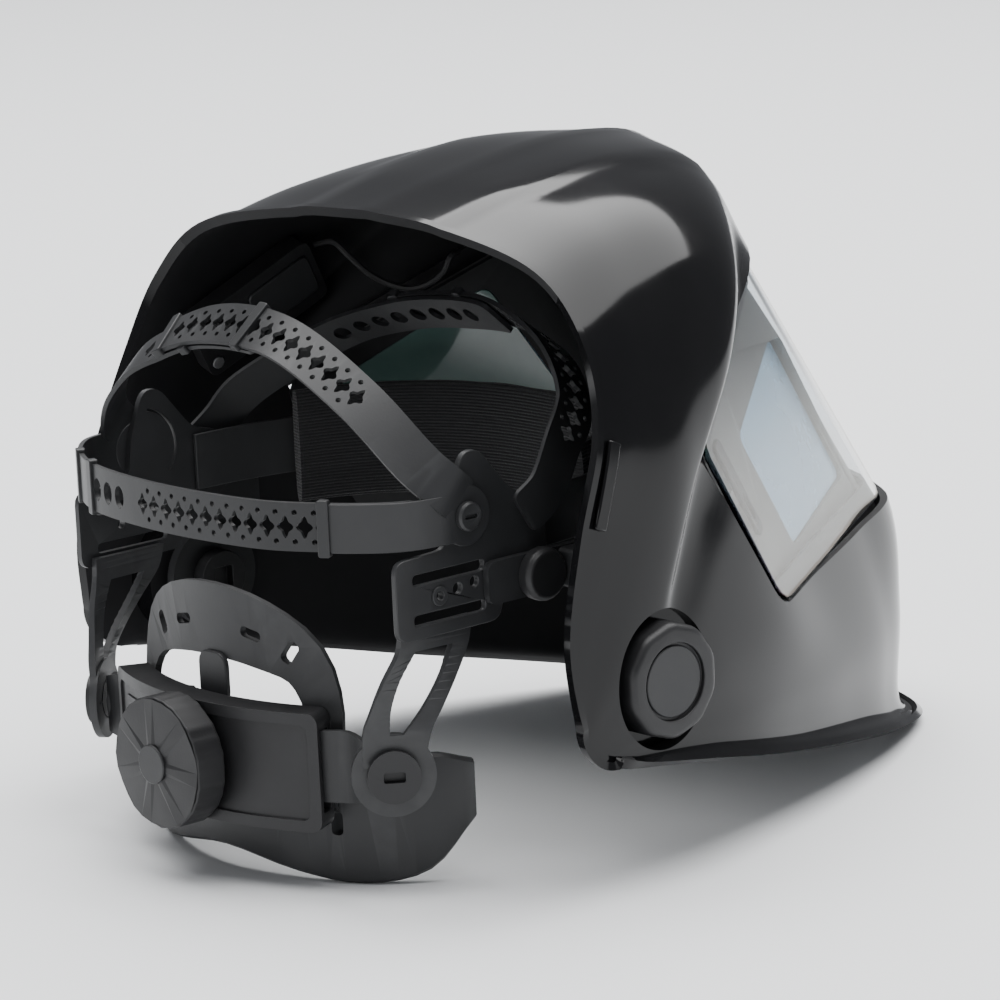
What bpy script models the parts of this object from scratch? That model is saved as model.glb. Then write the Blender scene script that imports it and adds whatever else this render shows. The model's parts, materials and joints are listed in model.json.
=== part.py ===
"""Welding helmet with a panoramic visor and a ratchet headgear.

Metres, +Z up, the visor faces -Y and the wearer's left is +X. The helmet stands on its chin flange
and on the nape pad of the headgear, with the floor at z = 0.
"""
import math

import bmesh
import bpy
from mathutils import Matrix, Vector
from mathutils.bvhtree import BVHTree

MM = 0.001
GAP = 0.3 * MM                      # clearance between two pieces that touch
TRIM = 0.1 * MM                     # how far joined shapes are set apart, so that no faces coincide

# ---- driving dimensions -------------------------------------------------------------------------
SHELL_HALF_WIDTH = 146 * MM
SHELL_REACH = 242 * MM              # pivot axis to the front of the chin
SHELL_HEIGHT = 251 * MM             # floor to crown
SHELL_WALL = 3 * MM
RIM_LIP = 2 * MM                    # how far the edge turns outward
CORNER_RADIUS = 16 * MM             # rear lower corners of the shell

COVER_THICKNESS = 2.5 * MM
COVER_INSET = 1.0 * MM              # gap all round between cover lens and shell
COVER_BOW = 7 * MM                  # how far the middle of the front bulges
FRAME_DEPTH = 5 * MM                # mask frame behind the cover lens
FRAME_THICKNESS = 5 * MM
FILTER_THICKNESS = 4 * MM
INNER_GLASS_THICKNESS = 1.5 * MM
INNER_GLASS_DEPTH = 16 * MM

PAD_OUTER_X = 133.5 * MM            # flat seat of the tension knob, on a shell of the drawn width
PAD_THICKNESS = 4 * MM
PAD_RADIUS = 26 * MM
BOLT_RADIUS = 5 * MM
WASHER_THICKNESS = 2 * MM
WASHER_RADIUS = 18 * MM
ARM_THICKNESS = 4 * MM              # pivot arm
HUB_RADIUS = 21 * MM
NUT_RADIUS = 11 * MM
NUT_HEIGHT = 6 * MM
KNOB_RADIUS = 22 * MM
KNOB_HEIGHT = 13 * MM

HEAD_HALF_WIDTH = 97.6 * MM         # outer face of the rear straps
HEAD_BACK = 115 * MM                # pivot axis to the back of the rear strap
HEAD_FRONT = 78 * MM                # pivot axis to the front of the headband
HEAD_CENTRE = 20 * MM               # where the head is widest, behind the pivot axis
BAND_HEIGHT_ABOVE_PIVOT = 56 * MM
BAND_WIDTH = 22 * MM
STRAP_WIDTH = 18 * MM
STRAP_THICKNESS = 1.8 * MM
SWEATBAND_THICKNESS = 6 * MM
SWEATBAND_WIDTH = 46 * MM
PLATE_THICKNESS = 2.5 * MM
TONGUE_THICKNESS = 3 * MM

RING_BACK = 85 * MM                 # pivot axis to the swivel rings
RING_BELOW = 27 * MM                # swivel rings below the pivot axis
RING_RADIUS = 15.6 * MM
RING_BORE = 8 * MM
RING_X = 86.5 * MM                  # middle of the ring plate
HOUSING_HALF_LENGTH = 57 * MM
HOUSING_BACK = 112.7 * MM           # pivot axis to the seat of the ratchet knob
HOUSING_THICKNESS = 11.5 * MM
HOUSING_HEIGHT = 45 * MM
HOUSING_BEND = 128 * MM             # plan radius of the ratchet housing
RATCHET_RADIUS = 25 * MM
RATCHET_HEIGHT = 16 * MM
RATCHET_BELOW = 29 * MM             # knob centre below the pivot axis

# ---- materials: colour, metallic, roughness, transmission ---------------------------------------
LOOKS = {
    "gloss_shell": ((0.008, 0.008, 0.009), 0.0, 0.08, 0.0),
    "clear_cover": ((0.9, 0.92, 0.93), 0.0, 0.05, 0.9),
    "mask_frame": ((0.25, 0.25, 0.26), 0.0, 0.45, 0.0),
    "blue_filter": ((0.20, 0.42, 0.58), 0.1, 0.12, 0.0),
    "green_glass": ((0.06, 0.10, 0.09), 0.0, 0.10, 0.3),
    "black_plastic": ((0.02, 0.02, 0.022), 0.0, 0.5, 0.0),
    "grey_plastic": ((0.035, 0.037, 0.04), 0.0, 0.55, 0.0),
    "knit": ((0.012, 0.012, 0.013), 0.0, 0.95, 0.0),
    "steel": ((0.5, 0.5, 0.5), 1.0, 0.35, 0.0),
    "wire_rubber": ((0.01, 0.01, 0.01), 0.0, 0.6, 0.0),
}


# ---- shared building functions ------------------------------------------------------------------
def clear_scene():
    for obj in list(bpy.data.objects):
        bpy.data.objects.remove(obj, do_unlink=True)


def material(name):
    found = bpy.data.materials.get(name)
    if found:
        return found
    colour, metallic, roughness, transmission = LOOKS[name]
    made = bpy.data.materials.new(name)
    made.use_nodes = True
    shader = made.node_tree.nodes["Principled BSDF"]
    shader.inputs["Base Color"].default_value = (*colour, 1.0)
    shader.inputs["Metallic"].default_value = metallic
    shader.inputs["Roughness"].default_value = roughness
    shader.inputs["Transmission Weight"].default_value = transmission
    return made


def add_object(name, mesh_builder, look, smooth_angle=math.radians(35), closed=True):
    """Turns a finished bmesh into a named object with outward faces and smooth round parts."""
    if closed:
        bmesh.ops.recalc_face_normals(mesh_builder, faces=mesh_builder.faces[:])
    mesh = bpy.data.meshes.new(name)
    mesh_builder.to_mesh(mesh)
    mesh_builder.free()
    mesh.shade_smooth()
    mesh.set_sharp_from_angle(angle=smooth_angle)
    obj = bpy.data.objects.new(name, mesh)
    bpy.context.scene.collection.objects.link(obj)
    mesh.materials.append(material(look))
    return obj


def move_origin(obj, place):
    """Puts an object's origin on its joint axis and leaves its mesh where it is."""
    obj.data.transform(Matrix.Translation(-place))
    obj.location = place


def boolean(obj, tool, operation, solver="EXACT"):
    """Joins or cuts a piece with a helper solid, which is left out of the model."""
    tool.hide_render = True
    tool.display_type = "WIRE"
    step = obj.modifiers.new(f"{operation.lower()}_{tool.name}", "BOOLEAN")
    step.operation = operation
    step.solver = solver
    step.object = tool


def circle(radius, count, start=0.0):
    turn = 2 * math.pi / count
    return [(radius * math.cos(start + turn * i), radius * math.sin(start + turn * i))
            for i in range(count)]


def rounded(points, radius, steps=4):
    """Rounds the corners of a closed outline with short arcs."""
    outline = []
    total = len(points)
    for i in range(total):
        before, here, after = (Vector(points[(i + k) % total]) for k in (-1, 0, 1))
        reach_back = min(radius, (before - here).length * 0.45)
        reach_on = min(radius, (after - here).length * 0.45)
        start = here + (before - here).normalized() * reach_back
        end = here + (after - here).normalized() * reach_on
        for k in range(steps + 1):
            t = k / steps
            outline.append(tuple(start * (1 - t) ** 2 + here * (2 * t * (1 - t)) + end * t ** 2))
    return outline


def rectangle(width, height, radius, steps=3):
    w, h = width / 2, height / 2
    return rounded([(-w, -h), (w, -h), (w, h), (-w, h)], radius, steps)


def loft(loops, closed=False):
    """Skins equal loops of points into one closed solid, capped at the ends unless it is a ring."""
    mesh_builder = bmesh.new()
    rows = [[mesh_builder.verts.new(point) for point in loop] for loop in loops]
    count = len(rows[0])
    pairs = list(zip(rows, rows[1:]))
    if closed:
        pairs.append((rows[-1], rows[0]))
    for row, following in pairs:
        for i in range(count):
            j = (i + 1) % count
            mesh_builder.faces.new((row[i], row[j], following[j], following[i]))
    if not closed:
        mesh_builder.faces.new(list(reversed(rows[0])))
        mesh_builder.faces.new(rows[-1])
    return mesh_builder


def prism(outline, low, high, frame=Matrix()):
    """Extrudes an outline in a frame's XY plane from low to high along its Z."""
    return loft([[frame @ Vector((x, y, z)) for x, y in outline] for z in (low, high)])


def stack(sections, frame=Matrix()):
    """Skins outlines given as (outline, height), such as a turned knob's steps."""
    return loft([[frame @ Vector((x, y, z)) for x, y in outline] for outline, z in sections])


def lateral(side, x, y, z):
    """Frame whose Z points outward along the side's X, with its own X backward and Y up."""
    return Matrix(((0, 0, side, side * x), (1, 0, 0, y), (0, 1, 0, z), (0, 0, 0, 1)))


def smooth_line(points, steps):
    """Catmull-Rom curve through the points, with a number of steps in each interval."""
    points = [Vector(p) for p in points]
    padded = [points[0] * 2 - points[1]] + points + [points[-1] * 2 - points[-2]]
    line = []
    for a, b, c, d in zip(padded, padded[1:], padded[2:], padded[3:]):
        for k in range(steps):
            t = k / steps
            line.append(0.5 * (2 * b + (c - a) * t + (2 * a - 5 * b + 4 * c - d) * t ** 2
                               + (3 * b - a - 3 * c + d) * t ** 3))
    return line + [points[-1]]


def strip(line, widths, thickness, normals):
    """Flat band whose outer face runs along a line and looks along the normals."""
    loops = []
    last = len(line) - 1
    for i, (point, width, normal) in enumerate(zip(line, widths, normals)):
        along = (line[min(i + 1, last)] - line[max(i - 1, 0)]).normalized()
        across = along.cross(normal).normalized() * width / 2
        inward = along.cross(across).normalized() * thickness
        loops.append([point - across, point + across, point + across + inward, point - across + inward])
    return loft(loops)


# ---- the shell's surface ------------------------------------------------------------------------
# Half sections from the rear rim (first) over the crown, the brow and the chin to the flange (last).
# Each runs from the rear lower corner of the side to the middle, drawn in millimetres on a shell of
# the drawn size and stretched to the driving dimensions.
DRAWN_HALF_WIDTH, DRAWN_REACH, DRAWN_HEIGHT = 146, 242, 251
DRAWN_PIVOT_HEIGHT = 75
DRAWN_CORNER = (29, 67)             # centre of the rear lower corner's arc, y and z
SECTIONS = (
    ((144, 47, 98), (141, 37, 134), (137, 23, 169), (124, 16, 199), (98, 13, 222), (50, 11, 232),
     (0, 11, 235)),
    ((144, 37, 94), (140, 21, 132), (135, 2, 168), (122, -10, 202), (95, -22, 230), (50, -31, 242),
     (0, -35, 245)),
    ((144, 24, 88), (139, 2, 124), (133, -22, 162), (120, -44, 200), (94, -59, 231), (50, -78, 247),
     (0, -88, 252)),
    ((143, 12, 83), (138, -8, 114), (131, -30, 148), (120, -60, 186), (96, -86, 217), (54, -111, 239),
     (0, -130, 246)),
    ((142, 4, 77), (136, -12, 104), (129, -28, 132), (118, -49, 161), (95, -81, 182), (65, -123, 209),
     (0, -148, 220)),
    ((141, -4, 70), (135, -28, 92), (125, -52, 117), (110, -82, 134), (86, -130, 146), (55, -168, 155),
     (0, -180, 158)),
    ((140, -12, 62), (134, -42, 72), (122, -80, 80), (102, -118, 84), (78, -166, 90), (52, -208, 95),
     (0, -219, 98)),
    ((139, -16, 54), (131, -55, 52), (117, -95, 50), (98, -137, 48), (74, -183, 48), (48, -217, 50),
     (0, -236, 52)),
    ((139, -18, 46), (130, -57, 40), (115, -97, 32), (97, -137, 25), (73, -183, 17), (46, -216, 11),
     (0, -230, 9)),
    ((141, -18, 43), (132, -57, 35), (118, -98, 26), (102, -138, 18), (79, -184, 9), (50, -221, 3.4),
     (0, -240, 3.4)),
)
ALONG_STEPS = 3
ACROSS_STEPS = 3


def stretch(x, y, z):
    """A point of the drawn shell, in metres on the shell of the driving size."""
    return Vector((x * SHELL_HALF_WIDTH / DRAWN_HALF_WIDTH, y * SHELL_REACH / DRAWN_REACH,
                   z * SHELL_HEIGHT / DRAWN_HEIGHT))


PIVOT_HEIGHT = stretch(0, 0, DRAWN_PIVOT_HEIGHT).z
PAD_X = PAD_OUTER_X * SHELL_HALF_WIDTH / (DRAWN_HALF_WIDTH * MM)


def corner_point(turn):
    """Start of a section on the rounded rear lower corner: turn 0 is at the rim, 1 at the flange."""
    angle = turn * math.pi / 2
    centre = stretch(DRAWN_HALF_WIDTH, *DRAWN_CORNER)
    return centre + Vector((0, math.cos(angle), -math.sin(angle))) * CORNER_RADIUS


def shell_half_grid(along_steps=ALONG_STEPS, across_steps=ACROSS_STEPS):
    """Rows of points on the left half of the outer surface, each row from the side to the middle."""
    last = len(SECTIONS) - 1
    ribs = [[corner_point(j / last)] + [stretch(*point) for point in section]
            for j, section in enumerate(SECTIONS)]
    ribs = [smooth_line(rib, along_steps) for rib in ribs]
    columns = [smooth_line([rib[i] for rib in ribs], across_steps) for i in range(len(ribs[0]))]
    return [[column[j] for column in columns] for j in range(len(columns[0]))]


def shell_sheet():
    """Open sheet of the outer surface with its edge turned outward all round."""
    sheet = bmesh.new()
    rows = []
    for left in shell_half_grid():
        left[-1].x = 0
        right = [Vector((-p.x, p.y, p.z)) for p in left[:-1]]
        rows.append([sheet.verts.new(p) for p in left + right[::-1]])
    for row, following in zip(rows, rows[1:]):
        for i in range(len(row) - 1):
            sheet.faces.new((row[i], row[i + 1], following[i + 1], following[i]))
    bmesh.ops.recalc_face_normals(sheet, faces=sheet.faces[:])
    crown = max(sheet.faces, key=lambda face: face.calc_center_median().z)
    if crown.normal.z < 0:
        bmesh.ops.reverse_faces(sheet, faces=sheet.faces[:])
    sheet.normal_update()
    edges = [edge for edge in sheet.edges if edge.is_boundary]
    normals = {vert: vert.normal.copy() for edge in edges for vert in edge.verts}
    lip = bmesh.ops.extrude_edge_only(sheet, edges=edges)["geom"]
    new_verts = [item for item in lip if isinstance(item, bmesh.types.BMVert)]
    for vert in new_verts:
        root = next(edge.other_vert(vert) for edge in vert.link_edges if edge.other_vert(vert) in normals)
        vert.co += normals[root] * RIM_LIP
    return sheet


def outer_skin():
    """Search tree of the outer surface, for placing what sits on it."""
    sheet = shell_sheet()
    tree = BVHTree.FromBMesh(sheet)
    sheet.free()
    return tree


def wall_frame(skin, side, drawn_y, drawn_z, along):
    """Frame on the shell's side wall: Z is the outward normal, X follows the direction along."""
    start = stretch(2 * DRAWN_HALF_WIDTH * side, drawn_y, drawn_z)
    point, normal, _, _ = skin.ray_cast(start, Vector((-side, 0, 0)))
    if normal.x * side < 0:
        normal = -normal
    x_axis = (Vector(along) - normal * normal.dot(Vector(along))).normalized()
    y_axis = normal.cross(x_axis)
    frame = Matrix((x_axis, y_axis, normal)).transposed().to_4x4()
    frame.translation = point
    return frame


def build_shell():
    """Shell with the visor opening, a seat and a bolt hole at each pivot and the shade knob's hole."""
    shell = add_object("shell", shell_sheet(), "gloss_shell", closed=False)
    wall = shell.modifiers.new("wall", "SOLIDIFY")
    wall.thickness = SHELL_WALL
    wall.offset = -1
    plug_body = add_object("seat_body", shell_sheet(), "gloss_shell", closed=False)
    fill = plug_body.modifiers.new("fill", "SOLIDIFY")
    fill.thickness = SHELL_HALF_WIDTH * 0.12
    fill.offset = -1
    skin = plug_body.modifiers.new("skin", "DISPLACE")
    skin.strength = -0.4 * MM
    skin.mid_level = 0
    plug_body.hide_render = True
    plug_body.display_type = "WIRE"
    for side, label in ((1, "left"), (-1, "right")):
        seat = lateral(side, 0, 0, PIVOT_HEIGHT)
        inner = PAD_X - PAD_THICKNESS
        plug = add_object(f"seat_plug_{label}",
                          prism(circle(PAD_RADIUS + SHELL_WALL / 2, 40), inner, PAD_X + 5 * PAD_THICKNESS,
                                seat),
                          "gloss_shell")
        boolean(plug, plug_body, "INTERSECT", "MANIFOLD")
        boolean(shell, plug, "UNION")
        flat = add_object(f"seat_flat_{label}", prism(circle(HUB_RADIUS, 40), inner, PAD_X, seat),
                          "gloss_shell")
        boolean(shell, flat, "UNION")
        recess = add_object(f"seat_recess_{label}",
                            prism(circle(PAD_RADIUS, 40), PAD_X, PAD_X + 12 * PAD_THICKNESS, seat),
                            "gloss_shell")
        boolean(shell, recess, "DIFFERENCE")
        hole = add_object(f"bolt_hole_{label}",
                          prism(circle(BOLT_RADIUS + GAP, 16), inner - PAD_THICKNESS,
                                PAD_X + PAD_THICKNESS, seat),
                          "gloss_shell")
        boolean(shell, hole, "DIFFERENCE")
    across = Matrix(((0, 0, 1, 0), (1, 0, 0, 0), (0, 1, 0, 0), (0, 0, 0, 1)))
    opening = add_object("visor_opening",
                         prism(visor_opening(), -1.5 * SHELL_HALF_WIDTH, 1.5 * SHELL_HALF_WIDTH, across),
                         "gloss_shell")
    boolean(shell, opening, "DIFFERENCE", "MANIFOLD")
    return shell


# ---- visor --------------------------------------------------------------------------------------
# Corners of the left half of the visor, drawn like the shell's sections. The side pane is the flat
# quadrangle through the four.
TOP_REAR = (125, -38, 155)
TOP_FRONT = (64, -124, 208)
BOTTOM_REAR = (120, -83, 84)
BOTTOM_FRONT = (50, -209, 96)
EDGE_ROUNDING = 12 * MM             # between side pane and front pane
COVER_CORNER = 9 * MM               # rear corners of the cover
MASK_MARGIN = 5 * MM                # mask frame inside the cover's border
INNER_MARGIN = 4 * MM
PANE_ROUNDING = 5 * MM
FRONT_BOW_SHARE = 0.7               # how much of the bow the flat front panes follow
# Window outlines drawn in the panes' frames: forward and down, or left and down, in millimetres.
SIDE_WINDOW = ((44, 36), (112, 44), (114, 120), (44, 93))
SIDE_GLASS = ((20, 12), (90, 12), (96, 108), (20, 86))
FRONT_WINDOW = ((-48, 16), (48, 16), (38, 116), (-38, 116))
FRONT_GLASS = ((-44, 14), (44, 14), (33, 114), (-33, 114))


def side_pane_frame(side):
    """Origin at the top rear corner, X forward along the pane, Y down along its rear edge, Z outward."""
    corner, front, low = (stretch(*p) for p in (TOP_REAR, TOP_FRONT, BOTTOM_REAR))
    down = (low - corner).normalized()
    outward = (front - corner).cross(down).normalized()
    outward = outward if outward.x > 0 else -outward
    forward = down.cross(outward)
    forward = forward if forward.y < 0 else -forward
    flip = Vector((side, 1, 1))
    frame = Matrix((forward * flip, down * flip, outward * flip)).transposed().to_4x4()
    frame.translation = corner * flip
    return frame


def front_pane_frame():
    """Origin at the middle of the top edge, X to the left, Y down the pane, Z outward."""
    top, bottom = stretch(*TOP_FRONT), stretch(*BOTTOM_FRONT)
    top.x = bottom.x = 0
    down = (bottom - top).normalized()
    across = Vector((1, 0, 0))
    outward = down.cross(across)
    outward = outward if outward.y < 0 else -outward
    frame = Matrix((across, down, outward)).transposed().to_4x4()
    frame.translation = top
    return frame


def quadratic(start, pull, end, steps):
    shares = [k / steps for k in range(steps + 1)]
    return [start * (1 - t) ** 2 + pull * (2 * t * (1 - t)) + end * t ** 2 for t in shares]


def visor_line(rear, front):
    """Border of the visor from its left rear corner to the middle of the front."""
    rear, front = stretch(*rear), stretch(*front)
    bow = front_pane_frame().to_3x3() @ Vector((0, 0, COVER_BOW))
    middle = Vector((0, front.y, front.z)) + bow
    turn_in = front + (rear - front).normalized() * EDGE_ROUNDING
    turn_out = front + (middle - front).normalized() * EDGE_ROUNDING
    step = (turn_in - rear).normalized() * COVER_CORNER
    line = [rear, rear + step * 0.15, rear + step * 0.5, rear + step, (rear + turn_in) / 2]
    line += quadratic(turn_in, front, turn_out, 5)
    return line + quadratic(turn_out, Vector((turn_out.x * 0.4, middle.y, middle.z)), middle, 4)[1:]


def visor_slab(depth, thickness, margin, corner=COVER_CORNER):
    """Closed panel that follows the visor: depth behind its outer face, margin inside its border."""
    top, bottom = visor_line(TOP_REAR, TOP_FRONT), visor_line(BOTTOM_REAR, BOTTOM_FRONT)
    half = []
    last = len(top) - 1
    for i, (high, low) in enumerate(zip(top, bottom)):
        along = top[min(i + 1, last)] - top[max(i - 1, 0)] + bottom[min(i + 1, last)] - bottom[max(i - 1,
                                                                                                   0)]
        if i == last:
            along = Vector((-1, 0, 0))
        down = (low - high).normalized()
        outward = down.cross(along).normalized()
        outward = outward if outward.y < 0 else -outward
        from_end = (high - top[0]).length
        trim = margin
        if from_end < corner:
            trim += corner - math.sqrt(corner ** 2 - (corner - from_end) ** 2)
        shift = along.normalized() * margin if from_end < corner * 1.01 else Vector((0, 0, 0))
        outer_high = high + down * trim + shift - outward * depth
        outer_low = low - down * trim + shift - outward * depth
        back = outward * thickness
        half.append([outer_low, outer_high, outer_high - back, outer_low - back])
    mirrored = [[Vector((-p.x, p.y, p.z)) for p in loop] for loop in half[:-1]]
    return loft(half + mirrored[::-1])


def visor_opening():
    """Side outline, y and z, of the opening that the cover fits with its gap."""
    top, bottom = visor_line(TOP_REAR, TOP_FRONT), visor_line(BOTTOM_REAR, BOTTOM_FRONT)
    up = (top[0] - bottom[0]).normalized() * COVER_INSET
    back = (top[0] - top[4]).normalized() * (COVER_INSET + COVER_THICKNESS * 0.7)
    front = Vector((0, -SHELL_REACH, 0))
    upper = [top[3] + up] + [p + up for p in top[4:]] + [top[-1] + up + front]
    lower = [bottom[-1] - up + front] + [p - up for p in bottom[:3:-1]] + [bottom[3] - up]
    rear_low = quadratic(bottom[3] - up, bottom[0] - up + back, bottom[0].lerp(top[0], 0.12) + back, 4)[1:]
    rear_high = quadratic(top[0].lerp(bottom[0], 0.12) + back, top[0] + up + back, top[3] + up, 4)[:-1]
    return [(p.y, p.z) for p in upper + lower + rear_low + rear_high]


def side_pane_size(place):
    """How far a side pane runs forward and down, with its corners put in place by the function given."""
    corner, front, low = (place(*p) for p in (TOP_REAR, TOP_FRONT, BOTTOM_REAR))
    down = low - corner
    return (front - corner).cross(down).length / down.length, down.length


def front_pane_size(place):
    """Half width of the front pane at the top and how far it runs down."""
    top, bottom = place(*TOP_FRONT), place(*BOTTOM_FRONT)
    return top.x, (bottom - top).yz.length


def pane_stretch(size):
    """How much longer than drawn a pane is along its own X and Y, in metres for each millimetre."""
    return [made / drawn for made, drawn in zip(size(stretch), size(lambda *p: Vector(p)))]


def pane_outline(points, rounding, share, grow=0.0):
    """Outline drawn in a pane's frame, stretched with the pane and grown by a margin."""
    middle = sum((Vector(p) for p in points), Vector((0, 0))) / len(points)
    placed = [(x * share[0], y * share[1], (Vector((x, y)) - middle).normalized() * grow) for x, y in points]
    return rounded([(x + out.x, y + out.y) for x, y, out in placed], rounding)


def build_visor():
    """Cover lens, mask frame, inner frame and the three pairs of filter and inner glass."""
    add_object("cover_lens", visor_slab(0, COVER_THICKNESS, 0), "clear_cover")
    frame = add_object("mask_frame", visor_slab(COVER_THICKNESS + FRAME_DEPTH, FRAME_THICKNESS,
                                                MASK_MARGIN),
                       "mask_frame")
    cassette = add_object("inner_frame", visor_slab(INNER_GLASS_DEPTH, FRAME_THICKNESS / 2, INNER_MARGIN),
                          "black_plastic")
    side, front = pane_stretch(side_pane_size), pane_stretch(front_pane_size)
    panes = [("left", side_pane_frame(1), side, SIDE_WINDOW, SIDE_GLASS, 0),
             ("right", side_pane_frame(-1), side, SIDE_WINDOW, SIDE_GLASS, 0),
             ("front", front_pane_frame(), front, FRONT_WINDOW, FRONT_GLASS, COVER_BOW * FRONT_BOW_SHARE)]
    filter_depth = COVER_THICKNESS + FRAME_DEPTH + (FRAME_THICKNESS - FILTER_THICKNESS) / 2
    glass_depth = INNER_GLASS_DEPTH + (FRAME_THICKNESS / 2 - INNER_GLASS_THICKNESS) / 2
    for label, place, share, window, glass, forward in panes:
        for holder, outline, depth in ((frame, window, COVER_THICKNESS + FRAME_DEPTH),
                                       (cassette, glass, INNER_GLASS_DEPTH)):
            opening = pane_outline(outline, PANE_ROUNDING, share, GAP * 2)
            low, high = -depth - 3 * FRAME_THICKNESS, -depth + 3 * FRAME_THICKNESS
            cutter = add_object(f"{holder.name}_{label}_window", prism(opening, low, high, place),
                                "black_plastic")
            boolean(holder, cutter, "DIFFERENCE")
        for name, outline, depth, thickness, look in (
                ("filter", window, filter_depth, FILTER_THICKNESS, "blue_filter"),
                ("inner_glass", glass, glass_depth, INNER_GLASS_THICKNESS, "green_glass")):
            top = forward - depth
            add_object(f"{label}_{name}",
                       prism(pane_outline(outline, PANE_ROUNDING, share), top - thickness, top, place), look)


# ---- controls on the left wall ------------------------------------------------------------------
CONTROL_PLACE = (-24, 186)          # y and z, drawn like the shell
CONTROL_SLOPE = (0, -0.85, 0.53)    # the box runs along the visor's upper border
BOX_LENGTH, BOX_HEIGHT, BOX_DEPTH = 60 * MM, 29 * MM, 9 * MM
BOX_STANDOFF = 4.3 * MM             # room behind the box for the curved wall
LID_LENGTH, LID_HEIGHT = 30 * MM, 18 * MM
SHAFT_RADIUS = 3 * MM
SHADE_KNOB_RADIUS = 11 * MM
SHADE_KNOB_HEIGHT = 9 * MM
BUTTON_RADIUS = 5.5 * MM
WIRE_RADIUS = 1.3 * MM
TAB_ENDS = ((29.5, 136), (17.5, 166))       # y and z of the rim tabs' ends, drawn like the shell
TAB_WIDTH, TAB_HEIGHT = 6 * MM, 2.2 * MM
TAB_STEPS = 4
# Middle of the wire from the box to the front pane's electronics, in millimetres.
WIRE_ROUTE = ((110, -50, 204), (104, -55, 205), (99, -58, 200), (94, -64, 192), (88, -70, 187),
              (81, -75, 185), (75, -80, 187), (69, -83, 192), (66, -84, 198), (65, -88, 200))


def build_controls(shell, skin):
    """Control box inside the left wall, its lid and screws, the shade knob and the grind button."""
    place = wall_frame(skin, 1, *CONTROL_PLACE, CONTROL_SLOPE)
    ceiling = -SHELL_WALL - BOX_STANDOFF
    box = add_object("control_box", prism(rectangle(BOX_LENGTH, BOX_HEIGHT, 4 * MM), ceiling - BOX_DEPTH,
                                          ceiling, place),
                     "black_plastic")
    floor = ceiling - BOX_DEPTH
    lid_place = place @ Matrix.Translation((BOX_LENGTH * 0.2, 0, 0))
    pocket = add_object("lid_pocket", prism(rectangle(LID_LENGTH + 2 * GAP, LID_HEIGHT + 2 * GAP, 3 * MM),
                                            floor - 2 * MM, floor + 2 * MM, lid_place), "black_plastic")
    boolean(box, pocket, "DIFFERENCE")
    add_object("battery_lid", prism(rectangle(LID_LENGTH, LID_HEIGHT, 3 * MM), floor - 1 * MM,
                                    floor + 2 * MM - GAP, lid_place), "grey_plastic")
    for label, x, y in (("a", -0.42, -0.32), ("b", -0.42, 0.32)):
        spot = place @ Matrix.Translation((BOX_LENGTH * x, BOX_HEIGHT * y, 0))
        well = add_object(f"screw_well_{label}", prism(circle(2.6 * MM + GAP, 12), floor - 2 * MM,
                                                       floor + 1.5 * MM, spot),
                          "black_plastic")
        boolean(box, well, "DIFFERENCE")
        add_object(f"box_screw_{label}", prism(circle(2.6 * MM, 12), floor - 0.4 * MM,
                                               floor + 1.5 * MM - GAP, spot),
                   "steel")
    knob_place = place @ Matrix.Translation((-BOX_LENGTH * 0.18, 0, 0))
    button_place = place @ Matrix.Translation((BOX_LENGTH * 0.26, 0, 0))
    top = 1.2 * MM
    for name, radius, spot in (("shade_shaft_hole", SHAFT_RADIUS + GAP, knob_place),
                               ("button_hole", BUTTON_RADIUS + GAP, button_place)):
        hole = add_object(name, prism(circle(radius, 16), ceiling - 3 * MM, 6 * MM, spot), "gloss_shell")
        boolean(shell, hole, "DIFFERENCE")
        boolean(box, hole, "DIFFERENCE")
    stem, rim = circle(SHAFT_RADIUS, 16), circle(SHADE_KNOB_RADIUS, 16)
    knob = add_object("shade_knob",
                      stack([(stem, ceiling - 2.5 * MM), (stem, top), (rim, top),
                             (rim, top + SHADE_KNOB_HEIGHT * 0.8),
                                           (circle(SHADE_KNOB_RADIUS * 0.85, 16),
                                            top + SHADE_KNOB_HEIGHT)], knob_place),
                      "black_plastic")
    move_origin(knob, knob_place.translation)
    button = add_object("grind_button", prism(circle(BUTTON_RADIUS, 16), ceiling + 0.5 * MM,
                                              top + 2.2 * MM, button_place),
                        "grey_plastic")
    move_origin(button, button_place.translation)
    route = smooth_line([stretch(*point) for point in WIRE_ROUTE], 4)
    curve = bpy.data.curves.new("control_wire", "CURVE")
    curve.dimensions = "3D"
    curve.bevel_depth = WIRE_RADIUS
    curve.bevel_resolution = 2
    curve.use_fill_caps = True
    spline = curve.splines.new("POLY")
    spline.points.add(len(route) - 1)
    for node, point in zip(spline.points, route):
        node.co = (*point, 1)
    wire = bpy.data.objects.new("control_wire", curve)
    bpy.context.scene.collection.objects.link(wire)
    curve.materials.append(material("wire_rubber"))


def build_rim_tabs(skin):
    """Raised pads on the outside of the side walls, along the rear rim."""
    half = TAB_WIDTH / 2
    section = ((-half, GAP), (half, GAP), (half, TAB_HEIGHT), (-half, TAB_HEIGHT))
    for side, label in ((1, "left"), (-1, "right")):
        (low_y, low_z), (high_y, high_z) = TAB_ENDS
        along = stretch(0, high_y, high_z) - stretch(0, low_y, low_z)
        loops = []
        for k in range(TAB_STEPS + 1):
            t = k / TAB_STEPS
            place = wall_frame(skin, side, low_y + (high_y - low_y) * t, low_z + (high_z - low_z) * t,
                               along)
            loops.append([place @ Vector((0, y, z)) for y, z in section])
        add_object(f"rim_tab_{label}", loft(loops), "gloss_shell")


# ---- pivots -------------------------------------------------------------------------------------
KNOB_SIDES = 10


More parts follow.
